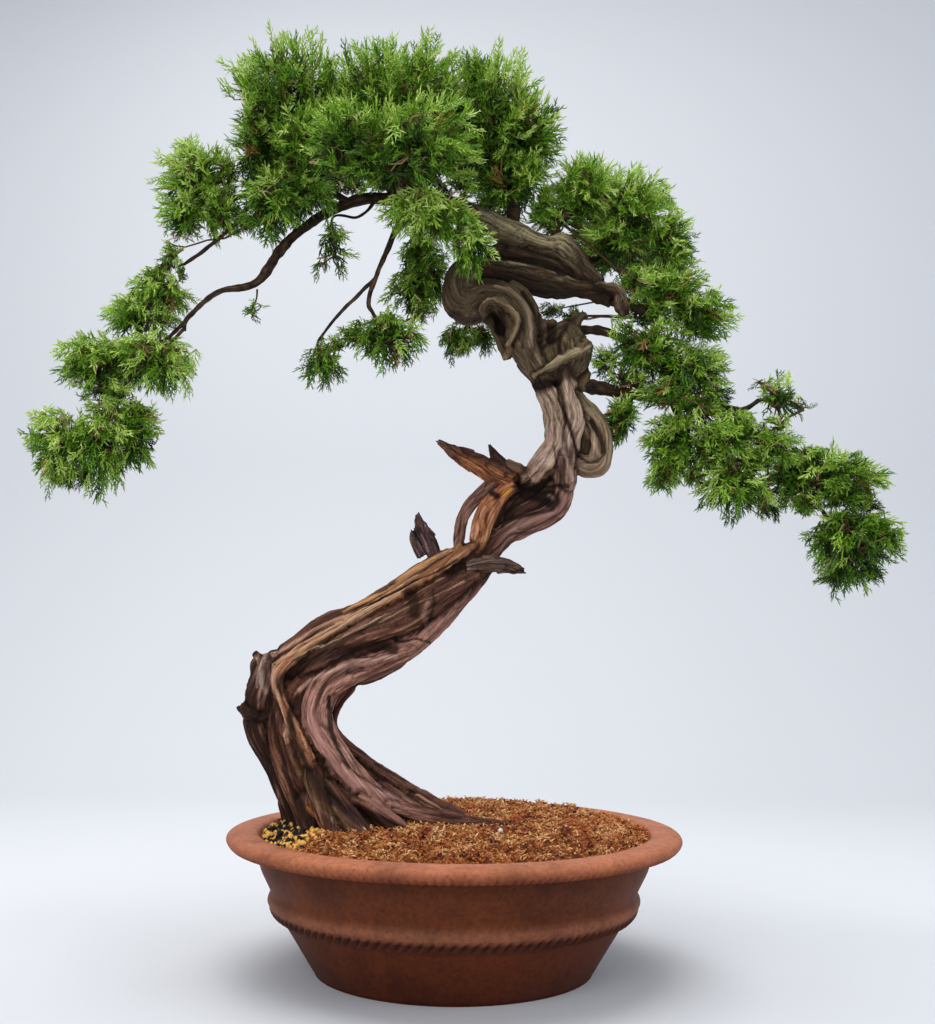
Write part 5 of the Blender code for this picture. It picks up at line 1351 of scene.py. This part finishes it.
def twig_arrays(starts, middles, ends, first, last):
    """Bent three-sided twigs from starts over middles to ends."""
    along = unit(ends - starts)
    other = np.where(np.abs(along[:, 2:3]) > 0.9, np.array([[1.0, 0.0, 0.0]]), np.array([[0.0, 0.0, 1.0]]))
    side = unit(np.cross(along, other))
    reaches = three_sides(side, np.cross(along, side))
    rows = ((starts, first), (middles, (first + last) / 2), (ends, last))
    points = [spot + reach * size[:, None] for spot, size in rows for reach in reaches]
    pattern = []
    for level in (0, 3):
        for k in range(3):
            n = (k + 1) % 3
            pattern += [(level + k, level + n, level + 3 + n), (level + k, level + 3 + n, level + 3 + k)]
    return np.stack(points, axis=1).reshape(-1, 3), copied(pattern, len(starts), len(points))


class Lobe:
    """One lobe of a mass, which grows from its middle out to its skin."""

    def __init__(self, lobe, number, lift, before):
        self.lobe = lobe
        self.number = number
        self.middle = np.array(lobe[:3], float)
        self.radii = np.array(lobe[3:], float)
        self.size = float(self.radii.prod() ** (1 / 3))
        self.sway = np.array([0.0, 0.0, lift])
        self.before = before

    def stem(self, rng):
        """The twig that comes from the bough or from the lobe before, as add_twigs takes it."""
        bend = (self.before + self.middle) / 2 + rng.normal(0, 2.0, 3)
        stout = min(1.0, min(self.radii) / 16.0)
        return (self.before[None], bend[None], self.middle[None], np.array([1.9 * stout]),
                np.array([1.2 * stout]), np.zeros(1, int))

    def branches(self, rng):
        """Twigs from the middle outwards, well spread and bent a little, and places along them."""
        out = headings(rng, 400)
        out = out[in_own_space(self.middle + out * self.radii * 0.80, self.number)]
        out = out[spaced(out, 0.55, max(4, round(BRANCHES_PER_LOBE * self.size / LOBE_SIZE)))]
        count = len(out)
        ends = self.middle + out * self.radii * rng.uniform(0.50, 0.72, (count, 1)) + self.sway * 3.0
        roots = self.middle + (self.before - self.middle) * rng.uniform(0.0, 0.35, (count, 1))
        bends = (roots + ends) / 2 + rng.normal(0, 0.07 * self.size, (count, 3))
        share = np.linspace(0.15, 1.0, 8)[None, :, None]
        runs = (roots[:, None] * (1 - share) ** 2 + 2 * bends[:, None] * share * (1 - share)
                + ends[:, None] * share ** 2)
        kinds = rng.choice(3, count, p=[0.80, 0.14, 0.06])
        stout = min(1.0, self.size / 22.0)
        twigs = (roots, bends, ends, np.full(count, 1.2 * stout), np.full(count, 0.6 * stout), kinds)
        return twigs, np.vstack([self.middle[None], runs.reshape(-1, 3)])

    def tips(self, wanted, rng):
        """Headings, depths and places of the sprays' tips, most of them near the skin."""
        out = headings(rng, wanted * 6)
        deep = 1.06 - 0.62 * rng.uniform(0, 1, len(out)) ** 1.4
        deep *= 1.0 + 0.17 * noise_at(self.middle / 7.0 + out * 2.4, 92)
        deep += (rng.uniform(0, 1, len(out)) < SPIKE_SHARE) * rng.uniform(0.05, 0.26, len(out))
        tips = self.middle + out * self.radii * deep[:, None]
        own = in_own_space(tips, self.number)
        siblings = [other for owner, other in ALL_LOBES if owner == self.number and other != self.lobe]
        if siblings:
            own &= depths(tips, siblings).min(axis=1) > 0.62
        out, deep, tips = out[own], deep[own], tips[own]
        chosen = spaced(tips, 0.155 * self.size + 1.0, wanted)
        return out[chosen], deep[chosen], tips[chosen]

    def sprays(self, dense, tone, stations, rng):
        """The twigs that carry the sprays, and the sprays as (roots, headings, lengths, greens)."""
        wanted = round((SPRAYS_PER_LOBE if dense else SPRAYS_OPEN) * (self.size / LOBE_SIZE) ** 2)
        out, deep, tips = self.tips(wanted, rng)
        count = len(tips)
        if count == 0:
            return None, None
        heading = unit(0.65 * unit(out * self.radii) + 0.45 * unit(tips - self.before) + self.sway
                       + 0.55 * drift_at(tips / 24.0, 5.0, 95) + rng.normal(0, 0.24, (count, 3)))
        length = rng.uniform(15.0, 26.0, count) * min(1.0, self.size / 26.0 + 0.1)
        roots = tips - heading * length[:, None]
        apart = np.linalg.norm(roots[:, None] - stations[None], axis=2)
        apart += 0.35 * np.linalg.norm(stations - self.middle, axis=1)[None]
        nearest = stations[apart.argmin(axis=1)]
        bends = (nearest + roots) / 2 + rng.normal(0, 0.8, (count, 3)) - heading
        kinds = rng.choice(3, count, p=[0.62, 0.10, 0.28])
        twigs = (nearest, bends, roots + heading * 1.5, np.full(count, 0.7), np.full(count, 0.5), kinds)

        # Green by place: pale on top and at the tips as painted light, deep below and inside as painted
        # shade, and below 0 for a dry spray
        light = 0.38 + tone + 0.24 * out[:, 2] + 0.85 * (deep - 0.80) + rng.normal(0, 0.15, count)
        light += 0.26 * noise_at(tips / 17.0, 91)
        green = np.clip((light * 5.0).astype(int), 0, 4)
        green[(rng.uniform(0, 1, count) < DRY_SHARE) & (deep < 0.9)] = -1
        return twigs, (roots, heading, length, green)


class Growth:
    """The leaves and the twigs of one piece of the foliage."""

    def __init__(self, templates):
        self.templates = templates
        self.leaves, self.greens, self.twigs, self.browns = [], [], [], []

    def add_twigs(self, starts, middles, ends, first, last, kinds):
        """Twigs with their sizes at both ends and the kind of bark of each."""
        self.twigs.append(twig_arrays(starts, middles, ends, first, last))
        self.browns.append(np.repeat(kinds, TWIG_FACES))

    def add_loose_twig(self, thick, kind, spots):
        """A bare twig through the spots, thinner towards its end."""
        sizes = np.linspace(thick, 0.6 * thick, len(spots))
        for k in range(0, len(spots) - 2, 2):
            self.add_twigs(spots[k:k + 1], spots[k + 1:k + 2], spots[k + 2:k + 3], sizes[k:k + 1],
                           sizes[k + 2:k + 3], [kind])

    def add_sprays(self, roots, heading, length, green, rng):
        """A template for each spray, turned, sized and put at its root."""
        which = rng.integers(0, len(self.templates), len(roots))
        frames = turned_frames(heading, headings(rng, len(roots)))
        for k, (points, faces, tips) in enumerate(self.templates):
            mine = np.flatnonzero(which == k)
            grown = np.einsum("nij,vj->nvi", frames[mine], points) * length[mine, None, None]
            grown += roots[mine, None]
            self.leaves.append((grown.reshape(-1, 3), copied(faces, len(mine), len(points))))
            shade = np.where(green[mine, None] < 0, len(GREENS), green[mine, None] + tips[None])
            self.greens.append(shade.reshape(-1))

    def add_mass(self, name, rng):
        """A mass: its loose twigs, then each lobe from the one before, the first from the bough's tip."""
        number = [row[0] for row in MASSES].index(name)
        _, carrier, dense, lift, lobes = MASSES[number]
        grown = [(lobe, None, dense) for lobe in lobes + FILLS.get(name, [])]
        for thick, kind, spots, lobe in LOOSE.get(name, []):
            spots = smooth_path(spots, 2)
            self.add_loose_twig(thick, kind, spots)
            if lobe:
                grown.append((lobe, spots[-1], False))
        before = np.array(tip_of(carrier), float)
        for place, start, full in grown:
            lobe = Lobe(place, number, lift, before if start is None else start)
            stem = lobe.stem(rng)
            branches, stations = lobe.branches(rng)
            twigs, sprays = lobe.sprays(full, TONES.get(name, 0.0), stations, rng)
            self.add_twigs(*stem)
            self.add_twigs(*branches)
            before = lobe.middle
            if sprays:
                self.add_twigs(*twigs)
                self.add_sprays(*sprays, rng)


def tip_of(carrier):
    """The end of the limb or bough of this name."""
    ends = {name: tubes[0][-1] for name, _, tubes in LIMBS}
    ends.update({name: rows[-1] for name, rows in BOUGHS})
    return ends[carrier][:3]


def dress_foliage():
    """Leaves and twigs of all masses, joined into the pieces that are listed above."""
    rng = np.random.default_rng(23)
    templates = [spray_template(rng) for _ in range(TEMPLATES)]
    greens = [plain_material(f"leaf_{k}", colour, 0.5, 0.22) for k, colour in enumerate(GREENS)]
    greens.append(plain_material("leaf_dry", DRY, 0.7, 0.2))
    browns = [plain_material(f"twig_{k}", colour, 0.8, 0.2) for k, colour in enumerate(TWIG_COLOURS)]
    for piece_name, members in FOLIAGE_PIECES:
        growth = Growth(templates)
        for member in members:
            growth.add_mass(member, rng)
        leaves = mesh_from_arrays(piece_name, *stacked(growth.leaves), greens, np.concatenate(growth.greens))
        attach(leaves, "root")
        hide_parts(*members)
        wood = mesh_from_arrays(piece_name.replace("foliage", "twigs"), *stacked(growth.twigs), browns,
                                np.concatenate(growth.browns))
        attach(wood, "root")
        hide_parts(*members)


# Stage

FLOOR_HALF = 4.0               # half width of the floor, in metres as all of the stage is
BACK, HIGH, BEND = 1.6, 3.0, 0.6    # where the backdrop stands, how high it is, and its bend to the floor
SKY = (0.80, 0.86, 0.95, 1.0)
LOOK = (0.0, 0.0, 0.35)        # where the lamps look
# Name, place, size, power and colour of each lamp
LAMPS = [
    ("top_light", (-0.2, 0.1, 1.9), 1.6, 34.0, (1.0, 0.98, 0.95)),
    ("front_light", (-0.9, -1.9, 1.3), 1.4, 16.0, (1.0, 0.99, 0.97)),
    ("right_light", (1.5, -0.9, 1.1), 1.2, 8.0, (0.93, 0.97, 1.0)),
]
SENSOR = 36.0                  # in millimetres
FOCAL_PIXELS, PHOTO_PIXELS = 1312.0, 1024.0    # focal length and longer side of the photograph
CAMERA_PLACE = (0.0078, -1.050, 0.2651)
CAMERA_PITCH, CAMERA_ROLL = 4.966, 0.5         # degrees above the level and round the line of sight


def set_floor():
    """A pale floor that bends up into a backdrop."""
    curve = [(-FLOOR_HALF, 0.0)]
    for step in range(13):
        turn = math.radians(90.0 * step / 12)
        curve.append((BACK - BEND + BEND * math.sin(turn), BEND - BEND * math.cos(turn)))
    curve.append((BACK, HIGH))
    points = [(side * FLOOR_HALF, y, z) for y, z in curve for side in (-1, 1)]
    faces = [(2 * k, 2 * k + 1, 2 * k + 3, 2 * k + 2) for k in range(len(curve) - 1)]
    mesh = bpy.data.meshes.new("floor")
    mesh.from_pydata(points, [], faces)
    for face in mesh.polygons:
        face.use_smooth = True
    mesh.materials.append(plain_material("floor", (214, 216, 220), 0.9, 0.1))
    floor = linked("floor", mesh)


def set_lights():
    """Soft light from all round, and from above, in front and the right."""
    world = bpy.data.worlds.new("studio")
    world.use_nodes = True
    background = world.node_tree.nodes["Background"]
    background.inputs["Color"].default_value = SKY
    background.inputs["Strength"].default_value = 0.55
    bpy.context.scene.world = world
    for name, place, size, power, colour in LAMPS:
        light = bpy.data.lights.new(name, "AREA")
        light.shape = "SQUARE"
        light.size = size
        light.energy = power
        light.color = colour
        lamp = linked(name, light)
        lamp.location = place
        lamp.rotation_euler = (Vector(LOOK) - Vector(place)).to_track_quat("-Z", "Y").to_euler()


def set_camera():
    """The photograph's camera."""
    data = bpy.data.cameras.new("camera")
    data.sensor_fit = "AUTO"
    data.sensor_width = SENSOR
    data.lens = FOCAL_PIXELS * SENSOR / PHOTO_PIXELS
    data.clip_start = 0.01
    camera = linked("camera", data)
    camera.location = CAMERA_PLACE
    tilt = Matrix.Rotation(math.radians(90.0 + CAMERA_PITCH), 4, "X")
    roll = Matrix.Rotation(math.radians(CAMERA_ROLL), 4, "Z")
    camera.rotation_euler = (tilt @ roll).to_euler()
    bpy.context.scene.camera = camera
    bpy.context.scene.view_settings.view_transform = "Standard"


set_floor()
set_lights()
set_camera()
dress_pot()
dress_soil()
dress_trunk()
dress_limbs()
dress_deadwood()
dress_boughs()
dress_foliage()
